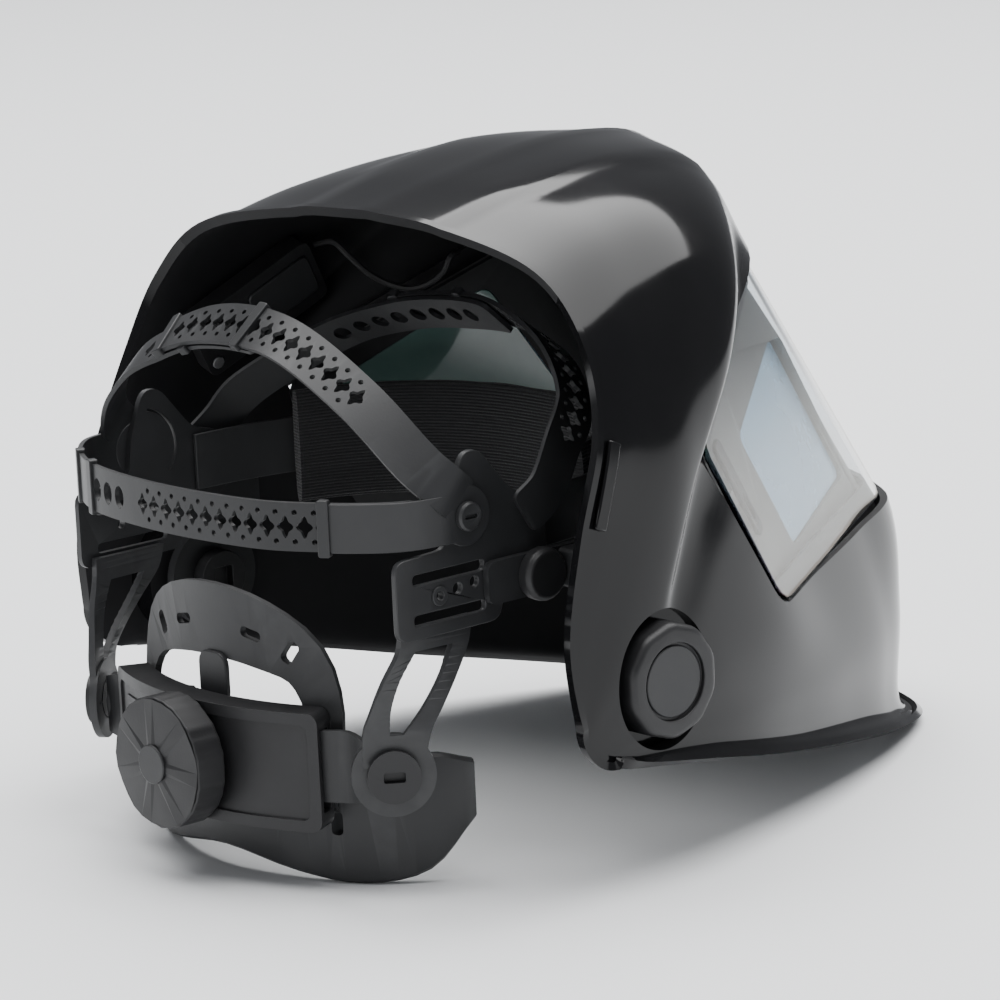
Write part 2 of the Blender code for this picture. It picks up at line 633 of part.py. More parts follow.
def pivot_levels():
    """Distances from the middle plane of what sits on each pivot axis, from the outside in."""
    inner = PAD_X - PAD_THICKNESS
    washer = inner - GAP - WASHER_THICKNESS
    hub = washer - GAP - ARM_THICKNESS
    nut = hub - GAP - NUT_HEIGHT
    return inner, washer, hub, nut


def decagon(radius):
    corners = circle(radius / math.cos(math.pi / KNOB_SIDES), KNOB_SIDES, math.pi / KNOB_SIDES)
    return rounded(corners, radius * 0.2, 2)


def build_pivots():
    """Tension knobs outside, and the friction washers and bolts with their nuts inside."""
    inner, washer, hub, nut = pivot_levels()
    for side, label in ((1, "left"), (-1, "right")):
        place = lateral(side, 0, 0, PIVOT_HEIGHT)
        foot = PAD_X + GAP
        knob = add_object(f"tension_knob_{label}", stack([
            (decagon(KNOB_RADIUS * 0.86), foot), (decagon(KNOB_RADIUS), foot + KNOB_HEIGHT * 0.25),
            (decagon(KNOB_RADIUS), foot + KNOB_HEIGHT * 0.78), (decagon(KNOB_RADIUS * 0.9),
                                                                foot + KNOB_HEIGHT),
            (decagon(KNOB_RADIUS * 0.78), foot + KNOB_HEIGHT), (decagon(KNOB_RADIUS * 0.74),
                                                                foot + KNOB_HEIGHT * 0.93)],
            place), "black_plastic")
        bore = add_object(f"knob_bore_{label}", prism(circle(BOLT_RADIUS + GAP, 16), foot - 2 * MM,
                                                      foot + KNOB_HEIGHT * 0.7, place), "black_plastic")
        boolean(knob, bore, "DIFFERENCE")
        move_origin(knob, place.translation)
        ring = add_object(f"friction_washer_{label}", prism(circle(WASHER_RADIUS, 32), washer,
                                                            washer + WASHER_THICKNESS,
                                                            place), "black_plastic")
        boolean(ring, add_object(f"washer_bore_{label}", prism(circle(BOLT_RADIUS + GAP, 16),
                                                               washer - 1 * MM,
                                                               inner + 1 * MM, place), "black_plastic"),
                                                               "DIFFERENCE")
        shank = circle(BOLT_RADIUS, 16)
        head = circle(NUT_RADIUS, 16)
        bolt = add_object(f"pivot_bolt_{label}",
                          stack([(head, nut), (head, nut + NUT_HEIGHT), (shank, nut + NUT_HEIGHT),
                                                        (shank,
                                                         foot + KNOB_HEIGHT * 0.7 - GAP)], place),
                                                         "black_plastic")
        socket = add_object(f"bolt_socket_{label}", prism(rectangle(9 * MM, 9 * MM, 1 * MM), nut - 1 * MM,
                                                          nut + 4 * MM,
                                                          place), "black_plastic")
        boolean(bolt, socket, "DIFFERENCE")


# ---- pivot arms and side plates -----------------------------------------------------------------
PLATE_X = 93 * MM                   # inner face of the side plates
# Side plate outline, behind and above the pivot axis.
PLATE_OUTLINE = ((87, 23), (87, 53), (62, 54), (60, 70), (53, 88), (45, 88), (30, 70), (14, 66), (14, 42),
                 (34, 40), (38, 23))
PLATE_SLOTS = ((62, 45, 34, 4), (62, 30, 34, 4))      # centre, length and width of the stop slots
TONGUE_Z = 38 * MM                  # middle of the tongue above the pivot axis
TONGUE_WIDTH = 16 * MM
TONGUE_FRONT, TONGUE_BACK = -4 * MM, 46 * MM
LATCH_RADIUS = 10 * MM
LATCH_HEIGHT = 6 * MM
LATCH_BACK = 22 * MM                # latch behind the pivot axis


def plate_outline(points, rounding):
    return rounded([(x * MM, y * MM) for x, y in points], rounding)


def build_pivot_arms():
    """Arms that turn on the pivot bolts and guide the headband fore and aft, with their latches."""
    _, _, hub, _ = pivot_levels()
    tongue = PLATE_X + PLATE_THICKNESS + GAP
    for side, label in ((1, "left"), (-1, "right")):
        place = lateral(side, 0, 0, PIVOT_HEIGHT)
        arm = add_object(f"pivot_arm_{label}", prism(circle(HUB_RADIUS, 32), hub, hub + ARM_THICKNESS,
                                                     place), "grey_plastic")
        bar = plate_outline(((-9, 0), (9, 0), (9, 30), (14, 46), (-4, 46), (-9, 30)), 3 * MM)
        boolean(arm,
                add_object(f"arm_bar_{label}", prism(bar, hub + 0.2 * MM, hub + ARM_THICKNESS - 0.2 * MM,
                                                     place),
                                "grey_plastic"), "UNION")
        bridge = [(x + 4 * MM, y + TONGUE_Z) for x, y in rectangle(16 * MM, TONGUE_WIDTH - 1 * MM, 3 * MM)]
        boolean(arm,
                add_object(f"arm_bridge_{label}",
                           prism(bridge, tongue + 0.1 * MM, hub + ARM_THICKNESS * 0.6, place),
                                "grey_plastic"), "UNION")
        middle, length = (TONGUE_FRONT + TONGUE_BACK) / 2, TONGUE_BACK - TONGUE_FRONT
        reach = [(x + middle, y + TONGUE_Z) for x, y in rectangle(length, TONGUE_WIDTH, 4 * MM)]
        boolean(arm, add_object(f"arm_tongue_{label}", prism(reach, tongue, tongue + TONGUE_THICKNESS,
                                                             place),
                                "grey_plastic"), "UNION")
        bore = add_object(f"arm_bore_{label}", prism(circle(BOLT_RADIUS + GAP, 16), hub - 1 * MM,
                                                     hub + 2 * ARM_THICKNESS,
                                                     place), "grey_plastic")
        boolean(arm, bore, "DIFFERENCE")
        spot = lateral(side, 0, LATCH_BACK, PIVOT_HEIGHT + TONGUE_Z)
        foot = tongue + TONGUE_THICKNESS + GAP
        body = circle(LATCH_RADIUS, 20)
        latch = add_object(f"latch_{label}", stack([(body, foot), (body, foot + LATCH_HEIGHT * 0.7),
                                                    (circle(LATCH_RADIUS * 0.85, 20),
                                                     foot + LATCH_HEIGHT)], spot),
                           "black_plastic")
        move_origin(latch, spot.translation)


def build_side_plates():
    """Plates at the temples, with the stop slots; the straps and the rear arms start from them."""
    for side, label in ((1, "left"), (-1, "right")):
        place = lateral(side, 0, 0, PIVOT_HEIGHT)
        plate = add_object(f"side_plate_{label}", prism(plate_outline(PLATE_OUTLINE, 5 * MM), PLATE_X,
                                                        PLATE_X + PLATE_THICKNESS, place), "grey_plastic")
        for index, (x, y, length, width) in enumerate(PLATE_SLOTS):
            slot = [(a + x * MM, b + y * MM) for a, b in rectangle(length * MM, width * MM,
                                                                   width * 0.45 * MM)]
            boolean(plate, add_object(f"plate_slot_{label}_{index}", prism(slot, PLATE_X - 1 * MM,
                                                                           PLATE_X + 2 * PLATE_THICKNESS,
                                                                           place),
                                      "grey_plastic"), "DIFFERENCE")


# ---- headband and straps ------------------------------------------------------------------------
FRONT_BAND_WRAP = 30 * MM           # where the front band's ends lie, behind the pivot axis
FRONT_ROUNDNESS = 2.4               # exponent of the front band's plan
STRAP_LAP = STRAP_THICKNESS + 3 * GAP
# Where each strap's two parts lap, as shares of its length; the rear lap stays clear of the junction.
REAR_LAP = (0.66, 1 - 1.0844 * STRAP_WIDTH / HEAD_HALF_WIDTH)
CROWN_LAP, LAP_BLEND = (0.42, 0.58), 0.08
TEMPLE_BLEND, CROWN_BLEND, CROWN_LIFT = 6 * MM, 60 * MM, 1.1
JUNCTION_BACK, JUNCTION_UP = 54 * MM, 65 * MM
JUNCTION_RADIUS = 5.5 * MM
# Plan of the rear strap as shares of half width and back length, from the temple to the middle.
REAR_PLAN = ((1, 0.42), (1, 0.50), (1, 0.58), (0.95, 0.72), (0.76, 0.86), (0.47, 0.96), (0, 1))
DRAWN_HEAD_HALF_WIDTH = 97.6
# Outer faces of the crown straps in millimetres, from the left temple to the right one: across, behind
# the pivot axis and above it. The two sides are set differently, as a worn headgear is.
REAR_CROWN = ((97.6, 55, 70), (97.6, 62, 76), (91, 70, 84), (72, 79, 100), (44, 82, 118), (13, 79, 128),
              (-29, 80, 127), (-68, 78, 109), (-91, 71, 87), (-97.6, 63, 77), (-97.6, 55, 70))
FRONT_CROWN = ((97.6, 26, 60), (97.6, 14, 68), (94.5, 4, 79), (84, -10, 90), (66, -24, 102), (34, -30, 114),
               (0, -31, 119), (-36, -26, 120), (-70, -18, 111), (-88, -10, 95), (-95.5, 4, 82), (-97.6,
                                                                                                 14, 68),
               (-97.6, 26, 60))


def on_head(x, y, z):
    """A point of the headgear drawn across, behind and above the pivot axis, in millimetres."""
    return Vector((x * HEAD_HALF_WIDTH / DRAWN_HEAD_HALF_WIDTH, y * MM, PIVOT_HEIGHT + z * MM))


def head_normal(point):
    """Outward direction of the head: straight out at the temples, turning back and up from there."""
    bend = min(max((HEAD_HALF_WIDTH - abs(point.x)) / TEMPLE_BLEND, 0), 1)
    rise = min(max(point.z - PIVOT_HEIGHT - JUNCTION_UP, 0) / CROWN_BLEND, 1)
    temple = Vector((math.copysign(1, point.x), 0, 0))
    radial = Vector((point.x, point.y - HEAD_CENTRE, 0)).normalized()
    return (temple.lerp(radial, bend) + Vector((0, 0, CROWN_LIFT * rise * bend))).normalized()


def head_strap(line, width, thickness):
    """A strap that lies on the head, its outer face on the line."""
    return strip(line, [width] * len(line), thickness, [head_normal(point) for point in line])


def lapped_halves(line, start, end):
    """Left and right part of a strap that lap between two shares of its length, the left one inside."""
    total = len(line) - 1
    centre = Vector((0, HEAD_CENTRE, PIVOT_HEIGHT + BAND_HEIGHT_ABOVE_PIVOT))
    left = []
    for i, point in enumerate(line[:int(total * end) + 1]):
        tuck = min(max((i / total - start + LAP_BLEND) / LAP_BLEND, 0), 1)
        left.append(point + (centre - point).normalized() * STRAP_LAP * tuck * tuck * (3 - 2 * tuck))
    return left, line[int(total * start):]


def build_rear_straps():
    """Rear harness in two moulded halves, each with one end of the rear and of the crown strap."""
    half = [Vector((x * HEAD_HALF_WIDTH, y * HEAD_BACK, PIVOT_HEIGHT + JUNCTION_UP)) for x, y in REAR_PLAN]
    level = smooth_line(half + [Vector((-p.x, p.y, p.z)) for p in half[-2::-1]], 4)
    crown = smooth_line([on_head(*point) for point in REAR_CROWN], 4)
    low = lapped_halves(level, *REAR_LAP)
    high = lapped_halves(crown, *CROWN_LAP)
    for label, side, strap, branch in (("left", 1, low[0], high[0]), ("right", -1, low[1], high[1])):
        harness = add_object(f"rear_strap_{label}", head_strap(strap, STRAP_WIDTH, STRAP_THICKNESS),
                             "grey_plastic")
        upper = add_object(f"rear_crown_{label}", head_strap(branch, STRAP_WIDTH, STRAP_THICKNESS),
                           "grey_plastic")
        boolean(harness, upper, "UNION")
        eye = lateral(side, HEAD_HALF_WIDTH, JUNCTION_BACK, PIVOT_HEIGHT + JUNCTION_UP)
        disc = add_object(f"strap_eye_{label}", prism(circle(STRAP_WIDTH * 0.62, 24),
                                                      TRIM - STRAP_THICKNESS, TRIM, eye),
                          "grey_plastic")
        boolean(harness, disc, "UNION")


def build_front_crown():
    """Front crown strap in two halves that lap at the top."""
    line = smooth_line([on_head(*point) for point in FRONT_CROWN], 4)
    for label, path in zip(("left", "right"), lapped_halves(line, *CROWN_LAP)):
        add_object(f"front_crown_{label}", head_strap(path, STRAP_WIDTH, STRAP_THICKNESS), "grey_plastic")


def front_plan(turn, grow, z):
    """Point of the front band's plan: turn 0 is the left end, pi the right end."""
    width = PLATE_X - GAP + grow
    depth = HEAD_FRONT + FRONT_BAND_WRAP + grow
    c, s = math.cos(turn), math.sin(turn)
    power = 2 / FRONT_ROUNDNESS
    return Vector((math.copysign(abs(c) ** power * width, c), FRONT_BAND_WRAP - s ** power * depth, z))


def build_headband():
    """Front band between the side plates, and the sweatband inside it."""
    z = PIVOT_HEIGHT + BAND_HEIGHT_ABOVE_PIVOT
    turns = [math.pi * i / 36 for i in range(37)]
    line = [front_plan(turn, 0, z) for turn in turns]
    add_object("front_band", head_strap(line, BAND_WIDTH, STRAP_THICKNESS), "grey_plastic")
    inner = -STRAP_THICKNESS - GAP
    line = [front_plan(turn, inner, z) for turn in turns if 0.10 * math.pi < turn < 0.90 * math.pi]
    add_object("sweatband", head_strap(line, SWEATBAND_WIDTH, SWEATBAND_THICKNESS), "knit")


def build_junctions():
    """Snap rivets that hold the strap ends to the side plates."""
    foot = HEAD_HALF_WIDTH + GAP
    for side, label in ((1, "left"), (-1, "right")):
        place = lateral(side, 0, JUNCTION_BACK, PIVOT_HEIGHT + JUNCTION_UP)
        rivet = add_object(f"junction_{label}", stack([(circle(JUNCTION_RADIUS, 20), foot),
                                                       (circle(JUNCTION_RADIUS, 20), foot + 1.8 * MM),
                                                       (circle(JUNCTION_RADIUS * 0.85, 20),
                                                        foot + 2.6 * MM)], place),
                           "grey_plastic")
        slot = add_object(f"junction_slot_{label}", prism(rectangle(6 * MM, 1.6 * MM, 0.6 * MM),
                                                          foot + 1 * MM,
                                                          foot + 5 * MM, place), "grey_plastic")
        boolean(rivet, slot, "DIFFERENCE")


# ---- rear arms and ratchet unit -----------------------------------------------------------------
REAR_ARM_THICKNESS = 2.8 * MM
RING_TURN = math.radians(36)        # how far the rings face backward
# Middle line of a rear arm from the side plate to its ring: across, behind and above the pivot axis;
# then the arm's width, the width of its slot (0 for none) and its turn as a share of RING_TURN.
REAR_ARM = ((91.2, 66, 27, 33, 0, 0), (91.2, 68, 18, 32, 17, 0.1), (90.6, 74, 8, 30, 17, 0.4),
            (89.4, 80, -3, 27, 12, 0.75),
            (88, 84, -12, 25, 5, 0.95), (86.5, 85, -27, 22, 0, 1))
BAND_END_GAP = 2.2 * MM             # from a ring's inner face to the band's disc, so that it can turn
BAND_END_THICKNESS = 2 * MM
BAND_DISC_RADIUS = 10 * MM
BAND_LEAD, BAND_GRIP = 9 * MM, 19 * MM      # band outside and inside the housing's end
BAND_WIDTHS = (14 * MM, 16 * MM, 22 * MM, 27 * MM, 27 * MM, 27 * MM)
PIN_CLEARANCE = 0.5 * MM            # round the bushes, so that they can rock in the rings
PIN_FLANGE, FLANGE_GAP = 2 * MM, 1.4 * MM
CHANNEL_WIDTH, CHANNEL_HEIGHT = 6.6 * MM, 32 * MM
KNOB_SHAFT_RADIUS = 6 * MM
CRADLE_THICKNESS = 2.8 * MM
CRADLE_LEAN = 0.12
NAPE_THICKNESS = 5 * MM
# Nape pad's outer face from the middle to the end: across, inside the cradle's inner face, and the
# heights of its lower and upper edges from the pivot axis.
NAPE_PAD = ((0, 0.6, -67, -34), (35, 0.6, -72, -35), (60, 1, -75, -33), (78, 3.6, -70, -26),
            (86, 7.8, -52, -30))


def housing_arc(x, inward):
    """How far behind the pivot axis the housing's arc lies at x, inward of its outer face."""
    return HOUSING_BACK - HOUSING_BEND + math.sqrt((HOUSING_BEND - inward) ** 2 - x * x)


def ring_frame(side):
    """Frame of a swivel ring: Z outward and backward along the pin, Y up, X along the band."""
    outward = Vector((side * math.cos(RING_TURN), math.sin(RING_TURN), 0))
    along = Vector((-side * math.sin(RING_TURN), math.cos(RING_TURN), 0))
    frame = Matrix((along, Vector((0, 0, 1)), outward)).transposed().to_4x4()
    frame.translation = Vector((side * RING_X, RING_BACK, PIVOT_HEIGHT - RING_BELOW))
    return frame


def arm_strap(side, column, thickness):
    """Twisted strip along the rear arm: column 3 of REAR_ARM gives the arm's width, 4 the slot's."""
    rows = [row for row in REAR_ARM if row[column] > 0]
    line = smooth_line([Vector(row[:3]) for row in rows], 4)
    extra = smooth_line([Vector((row[column], row[5], 0)) for row in rows], 4)
    loops = []
    for i, (point, (width, share, _)) in enumerate(zip(line, extra)):
        turn = RING_TURN * share
        across = Vector((-side * math.sin(turn), math.cos(turn), 0)) * width * MM / 2
        outward = Vector((side * math.cos(turn), math.sin(turn), 0)) * thickness / 2
        middle = Vector((side * point.x * MM, point.y * MM, PIVOT_HEIGHT + point.z * MM))
        loops.append([middle - across - outward, middle + across - outward, middle + across + outward,
                      middle - across + outward])
    return loft(loops)


def build_rear_arms():
    """Arms from the side plates down to the swivel rings, and the bushes in the rings."""
    for side, label in ((1, "left"), (-1, "right")):
        arm = add_object(f"rear_arm_{label}", arm_strap(side, 3, REAR_ARM_THICKNESS), "grey_plastic")
        boolean(arm, add_object(f"arm_slot_{label}", arm_strap(side, 4, 3 * REAR_ARM_THICKNESS),
                                "grey_plastic"),
                "DIFFERENCE")
        axis = ring_frame(side)
        half = REAR_ARM_THICKNESS / 2
        boolean(arm, add_object(f"arm_ring_{label}", prism(circle(RING_RADIUS, 32), 0.1 * MM - half,
                                                           half + 0.2 * MM, axis),
                                "grey_plastic"), "UNION")
        boolean(arm, add_object(f"ring_bore_{label}", prism(circle(RING_BORE, 24), -6 * MM, 6 * MM, axis),
                                "grey_plastic"), "DIFFERENCE")
        body, flange = circle(RING_BORE - PIN_CLEARANCE, 24), circle(RING_BORE + PIN_FLANGE, 24)
        face = half + 2 * TRIM + FLANGE_GAP
        pin = add_object(f"swivel_pin_{label}", stack([(body, -half), (body, face), (flange, face),
                                                       (flange, face + 2 * MM)], axis), "black_plastic")
        notch = add_object(f"pin_notch_{label}", prism(rectangle(8 * MM, 4 * MM, 1 * MM), face - 1 * MM,
                                                       face + 3 * MM, axis),
                           "black_plastic")
        boolean(pin, notch, "DIFFERENCE")


def build_band_ends():
    """Toothed bands from the swivel rings into the ratchet housing."""
    middle = (HOUSING_THICKNESS - BAND_END_THICKNESS) / 2
    face = -REAR_ARM_THICKNESS / 2 - BAND_END_GAP
    for side, label in ((1, "left"), (-1, "right")):
        axis = ring_frame(side)
        near = [axis @ Vector((x, 0, face - BAND_END_THICKNESS / 2)) for x in (-8 * MM, 0, 8 * MM)]
        inside = [Vector((side * x, housing_arc(x, middle), axis.translation.z))
                  for x in (HOUSING_HALF_LENGTH + BAND_LEAD, HOUSING_HALF_LENGTH,
                            HOUSING_HALF_LENGTH - BAND_GRIP)]
        line = smooth_line(near + inside, 4)
        widths = smooth_line([Vector((w, 0, 0)) for w in BAND_WIDTHS], 4)
        loops = []
        last = len(line) - 1
        for i, (point, width) in enumerate(zip(line, widths)):
            along = (line[min(i + 1, last)] - line[max(i - 1, 0)]).normalized()
            across = Vector((0, 0, width.x / 2))
            through = along.cross(Vector((0, 0, 1))) * BAND_END_THICKNESS / 2
            loops.append([point - across - through, point + across - through, point + across + through,
                          point - across + through])
        band = add_object(f"band_end_{label}", loft(loops), "grey_plastic")
        disc = add_object(f"band_disc_{label}", prism(circle(BAND_DISC_RADIUS, 24),
                                                      face - BAND_END_THICKNESS - 0.1 * MM,
                                                      face - 0.1 * MM, axis), "grey_plastic")
        boolean(band, disc, "UNION")
        move_origin(band, axis.translation)


def housing_sections(half_length, height, outer, inner, rounding, count=13):
    """Curved bar between two depths inside the housing's outer face, its section a rounded rectangle."""
    radius = HOUSING_BEND - (outer + inner) / 2
    reach = math.asin(half_length / radius)
    centre = Vector((0, HOUSING_BACK - HOUSING_BEND, PIVOT_HEIGHT - RATCHET_BELOW))
    loops = []
    for i in range(count):
        angle = reach * (2 * i / (count - 1) - 1)
        radial = Vector((math.sin(angle), math.cos(angle), 0))
        middle = centre + radial * radius
        loops.append([middle + radial * b + Vector((0, 0, a))
                      for a, b in rectangle(height, inner - outer, rounding, 2)])
    return loft(loops)


def arc_strip(points, lean_from, thickness, inward):
    """Band on the cradle's surface through points given across and above the pivot axis, with widths."""
    line, normals = [], []
    for x, z, _ in points:
        y = housing_arc(x * MM, inward)
        normals.append(Vector((x * MM, y - HOUSING_BACK + HOUSING_BEND, 0)).normalized())
        line.append(Vector((x * MM, y - CRADLE_LEAN * max(0, z * MM - lean_from), PIVOT_HEIGHT + z * MM)))
    widths = smooth_line([Vector((width * MM, 0, 0)) for _, _, width in points], 3)
    return strip(smooth_line(line, 3), [w.x for w in widths], thickness, smooth_line(normals, 3))


CRADLE_ARCH = ((-50, -32, 15), (-52, -10, 15), (-44, 8, 20), (-25, 17, 26), (0, 20, 28), (25, 17, 26),
               (44, 8, 20),
               (52, -10, 15), (50, -32, 15))


def build_ratchet():
    """Housing with its band channel, the knob with its shaft and cap, the cradle and the nape pad."""
    wall = (HOUSING_THICKNESS - CHANNEL_WIDTH) / 2
    housing = add_object("ratchet_housing", housing_sections(HOUSING_HALF_LENGTH, HOUSING_HEIGHT, 0,
                                                             HOUSING_THICKNESS,
                                                            3 * MM), "black_plastic")
    channel = add_object("band_channel", housing_sections(HOUSING_HALF_LENGTH * 1.2, CHANNEL_HEIGHT, wall,
                                                          HOUSING_THICKNESS - wall, 1 * MM),
                                                          "black_plastic")
    boolean(housing, channel, "DIFFERENCE")
    behind = Matrix(((-1, 0, 0, 0), (0, 0, 1, 0), (0, 1, 0, PIVOT_HEIGHT - RATCHET_BELOW), (0, 0, 0, 1)))
    hole = add_object("knob_shaft_hole", prism(circle(KNOB_SHAFT_RADIUS + GAP, 24),
                                               HOUSING_BACK - wall - 2 * MM,
                                               HOUSING_BACK + 5 * MM, behind), "black_plastic")
    boolean(housing, hole, "DIFFERENCE")
    foot = HOUSING_BACK + GAP
    rim = [(x * (1 + 0.02 * math.cos(7 * a)), y * (1 + 0.02 * math.cos(7 * a)))
           for x, y in circle(RATCHET_RADIUS, 42) for a in [math.atan2(y, x)]]
    shrunk = [(x * 0.92, y * 0.92) for x, y in rim]
    shaft = circle(KNOB_SHAFT_RADIUS, 42)
    top = foot + RATCHET_HEIGHT
    layers = [(shaft, HOUSING_BACK - wall - 1 * MM), (shaft, foot), (shrunk, foot), (rim, foot + 2 * MM),
              (rim, foot + RATCHET_HEIGHT * 0.75), (shrunk, top)]
    knob = add_object("ratchet_knob", stack(layers, behind), "black_plastic")
    well = add_object("cap_well", prism(circle(RATCHET_RADIUS * 0.3 + GAP, 24),
                                        foot + RATCHET_HEIGHT - 1 * MM,
                                        foot + RATCHET_HEIGHT + 5 * MM, behind), "black_plastic")
    boolean(knob, well, "DIFFERENCE")
    move_origin(knob, behind.translation + Vector((0, foot, 0)))
    add_object("ratchet_cap", prism(circle(RATCHET_RADIUS * 0.3, 24), foot + RATCHET_HEIGHT - 1 * MM + GAP,
                                    foot + RATCHET_HEIGHT + 0.6 * MM, behind), "grey_plastic")
    outer = HOUSING_THICKNESS + GAP
    cradle = add_object("cradle", housing_sections(54 * MM, 34 * MM, outer, outer + CRADLE_THICKNESS,
                                                   0.5 * MM), "grey_plastic")
    arch = add_object("cradle_arch", arc_strip(CRADLE_ARCH, -13 * MM, CRADLE_THICKNESS * 0.9,
                                               outer + TRIM), "grey_plastic")
    boolean(cradle, arch, "UNION")
    half = []
    for x, inward, low, high in NAPE_PAD:
        y = housing_arc(x * MM, outer + CRADLE_THICKNESS + inward * MM)
        half.append((Vector((x * MM, y, low * MM)), Vector((x * MM, y, high * MM))))
    lows = [Vector((-low.x, low.y, low.z)) for low, _ in half[:0:-1]] + [low for low, _ in half]
    highs = [Vector((-high.x, high.y, high.z)) for _, high in half[:0:-1]] + [high for _, high in half]
    lows, highs = smooth_line(lows, 4), smooth_line(highs, 4)
    loops = []
    for i, (low, high) in enumerate(zip(lows, highs)):
        along = lows[min(i + 1, len(lows) - 1)] - lows[max(i - 1, 0)]
        inward = Vector((along.y, -along.x, 0)).normalized() * NAPE_THICKNESS
        inward = inward if inward.dot(Vector((-low.x, HEAD_CENTRE - low.y, 0))) > 0 else -inward
        lift = Vector((0, 0, PIVOT_HEIGHT))
        bevel = Vector((0, 0, 1.2 * MM))
        loops.append([low + lift + inward * 0.25, low + lift + bevel, high + lift - bevel,
                      high + lift + inward * 0.25,
                      high + lift + inward * 0.75, high + lift + inward - bevel,
                      low + lift + inward + bevel, low + lift + inward * 0.75])
    add_object("nape_pad", loft(loops), "grey_plastic")


def centre_on_origin():
    """Moves everything so that the middle of the helmet's footprint is at the origin."""
    bpy.context.view_layer.update()
    graph = bpy.context.evaluated_depsgraph_get()
    low, high = Vector((1, 1, 1)), Vector((-1, -1, -1))
    for obj in bpy.data.objects:
        if obj.hide_render:
            continue
        solid = obj.evaluated_get(graph)
        for vert in solid.to_mesh().vertices:
            place = solid.matrix_world @ vert.co
            low = Vector([min(a, b) for a, b in zip(low, place)])
            high = Vector([max(a, b) for a, b in zip(high, place)])
        solid.to_mesh_clear()
    middle = (low + high) / 2
    for obj in bpy.data.objects:
        obj.location -= Vector((middle.x, middle.y, low.z))


def main():
    clear_scene()
    skin = outer_skin()
    shell = build_shell()
    build_visor()
    build_controls(shell, skin)
    build_rim_tabs(skin)
    build_pivots()
    build_pivot_arms()
    build_side_plates()
    build_rear_straps()
    build_front_crown()
    build_headband()
    build_junctions()
    build_rear_arms()
    build_band_ends()
    build_ratchet()
    centre_on_origin()


main()
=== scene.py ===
"""Looks of the welding helmet: finishes, perforated straps, knit sweatband and fine moulded detail."""
import json
import math

import bmesh
import bpy
from mathutils import Matrix, Vector, noise


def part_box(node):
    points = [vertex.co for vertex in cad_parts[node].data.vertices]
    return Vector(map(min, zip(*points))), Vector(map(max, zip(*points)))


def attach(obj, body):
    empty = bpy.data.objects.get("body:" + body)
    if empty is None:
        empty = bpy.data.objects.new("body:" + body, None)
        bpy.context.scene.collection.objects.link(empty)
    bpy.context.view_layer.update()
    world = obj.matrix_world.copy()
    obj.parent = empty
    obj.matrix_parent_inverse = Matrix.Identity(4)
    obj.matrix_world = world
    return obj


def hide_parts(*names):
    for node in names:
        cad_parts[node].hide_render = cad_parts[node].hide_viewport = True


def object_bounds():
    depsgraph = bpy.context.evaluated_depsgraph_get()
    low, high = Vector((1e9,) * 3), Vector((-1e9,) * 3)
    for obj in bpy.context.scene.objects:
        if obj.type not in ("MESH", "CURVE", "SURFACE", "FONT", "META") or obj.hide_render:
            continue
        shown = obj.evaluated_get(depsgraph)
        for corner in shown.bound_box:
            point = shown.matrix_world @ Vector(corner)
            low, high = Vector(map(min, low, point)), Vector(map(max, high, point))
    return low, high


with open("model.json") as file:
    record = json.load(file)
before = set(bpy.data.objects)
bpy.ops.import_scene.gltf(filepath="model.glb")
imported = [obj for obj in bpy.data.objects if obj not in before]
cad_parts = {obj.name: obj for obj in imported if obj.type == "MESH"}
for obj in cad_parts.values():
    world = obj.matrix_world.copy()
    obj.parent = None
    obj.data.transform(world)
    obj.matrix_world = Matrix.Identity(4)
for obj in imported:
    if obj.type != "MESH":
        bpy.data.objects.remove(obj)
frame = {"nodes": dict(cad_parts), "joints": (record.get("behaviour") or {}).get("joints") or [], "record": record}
cad_low, cad_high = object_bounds()
NODES = frame["nodes"]
BODY_OF = {node: body for body, nodes in frame["record"]["behaviour"]["bodies"].items() for node in nodes}
SLOT_OF = {row["node"]: row["material_slot"] for row in frame["record"]["subparts"]}
MM = 0.001
SIDES = ((1, "left"), (-1, "right"))
knob_low, knob_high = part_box("tension_knob_left")
PIVOT = Vector((0, (knob_low.y + knob_high.y) / 2, (knob_low.z + knob_high.z) / 2))


def linked(name, data):
    obj = bpy.data.objects.new(name, data)
    bpy.context.scene.collection.objects.link(obj)
    return obj


def place_by(bm, matrix):
    bmesh.ops.transform(bm, matrix=matrix, verts=bm.verts[:])


def face_outward(bm):
    bmesh.ops.recalc_face_normals(bm, faces=bm.faces[:])


def axes_frame(x, y, z, origin):
    place = Matrix((x, y, z)).transposed().to_4x4()
    place.translation = origin
    return place


# ---- camera and studio
CAMERA_DISTANCE = 1.923
CAMERA_TURN, CAMERA_LIFT, CAMERA_LEAN = math.radians(48.5), math.radians(10.2), math.radians(3.5)
PIVOT_IN_VIEW = (-0.0174, -0.0242)      # where the tilt axis sits in the view, per metre of distance


def build_camera():
    s, c = math.sin(CAMERA_TURN), math.cos(CAMERA_TURN)
    se, ce = math.sin(CAMERA_LIFT), math.cos(CAMERA_LIFT)
    lean = Matrix.Rotation(CAMERA_LEAN, 3, "X")
    right = lean @ Vector((-c, -s, 0))
    up = lean @ Vector((s * se, -c * se, ce))
    back = lean @ Vector((-s * ce, c * ce, se))
    data = bpy.data.cameras.new("camera")
    data.sensor_width = 36
    data.lens = 180
    camera = linked("camera", data)
    x, y = (part * CAMERA_DISTANCE for part in PIVOT_IN_VIEW)
    camera.matrix_world = axes_frame(right, up, back, PIVOT - (right * x + up * y - back * CAMERA_DISTANCE))
    bpy.context.scene.camera = camera


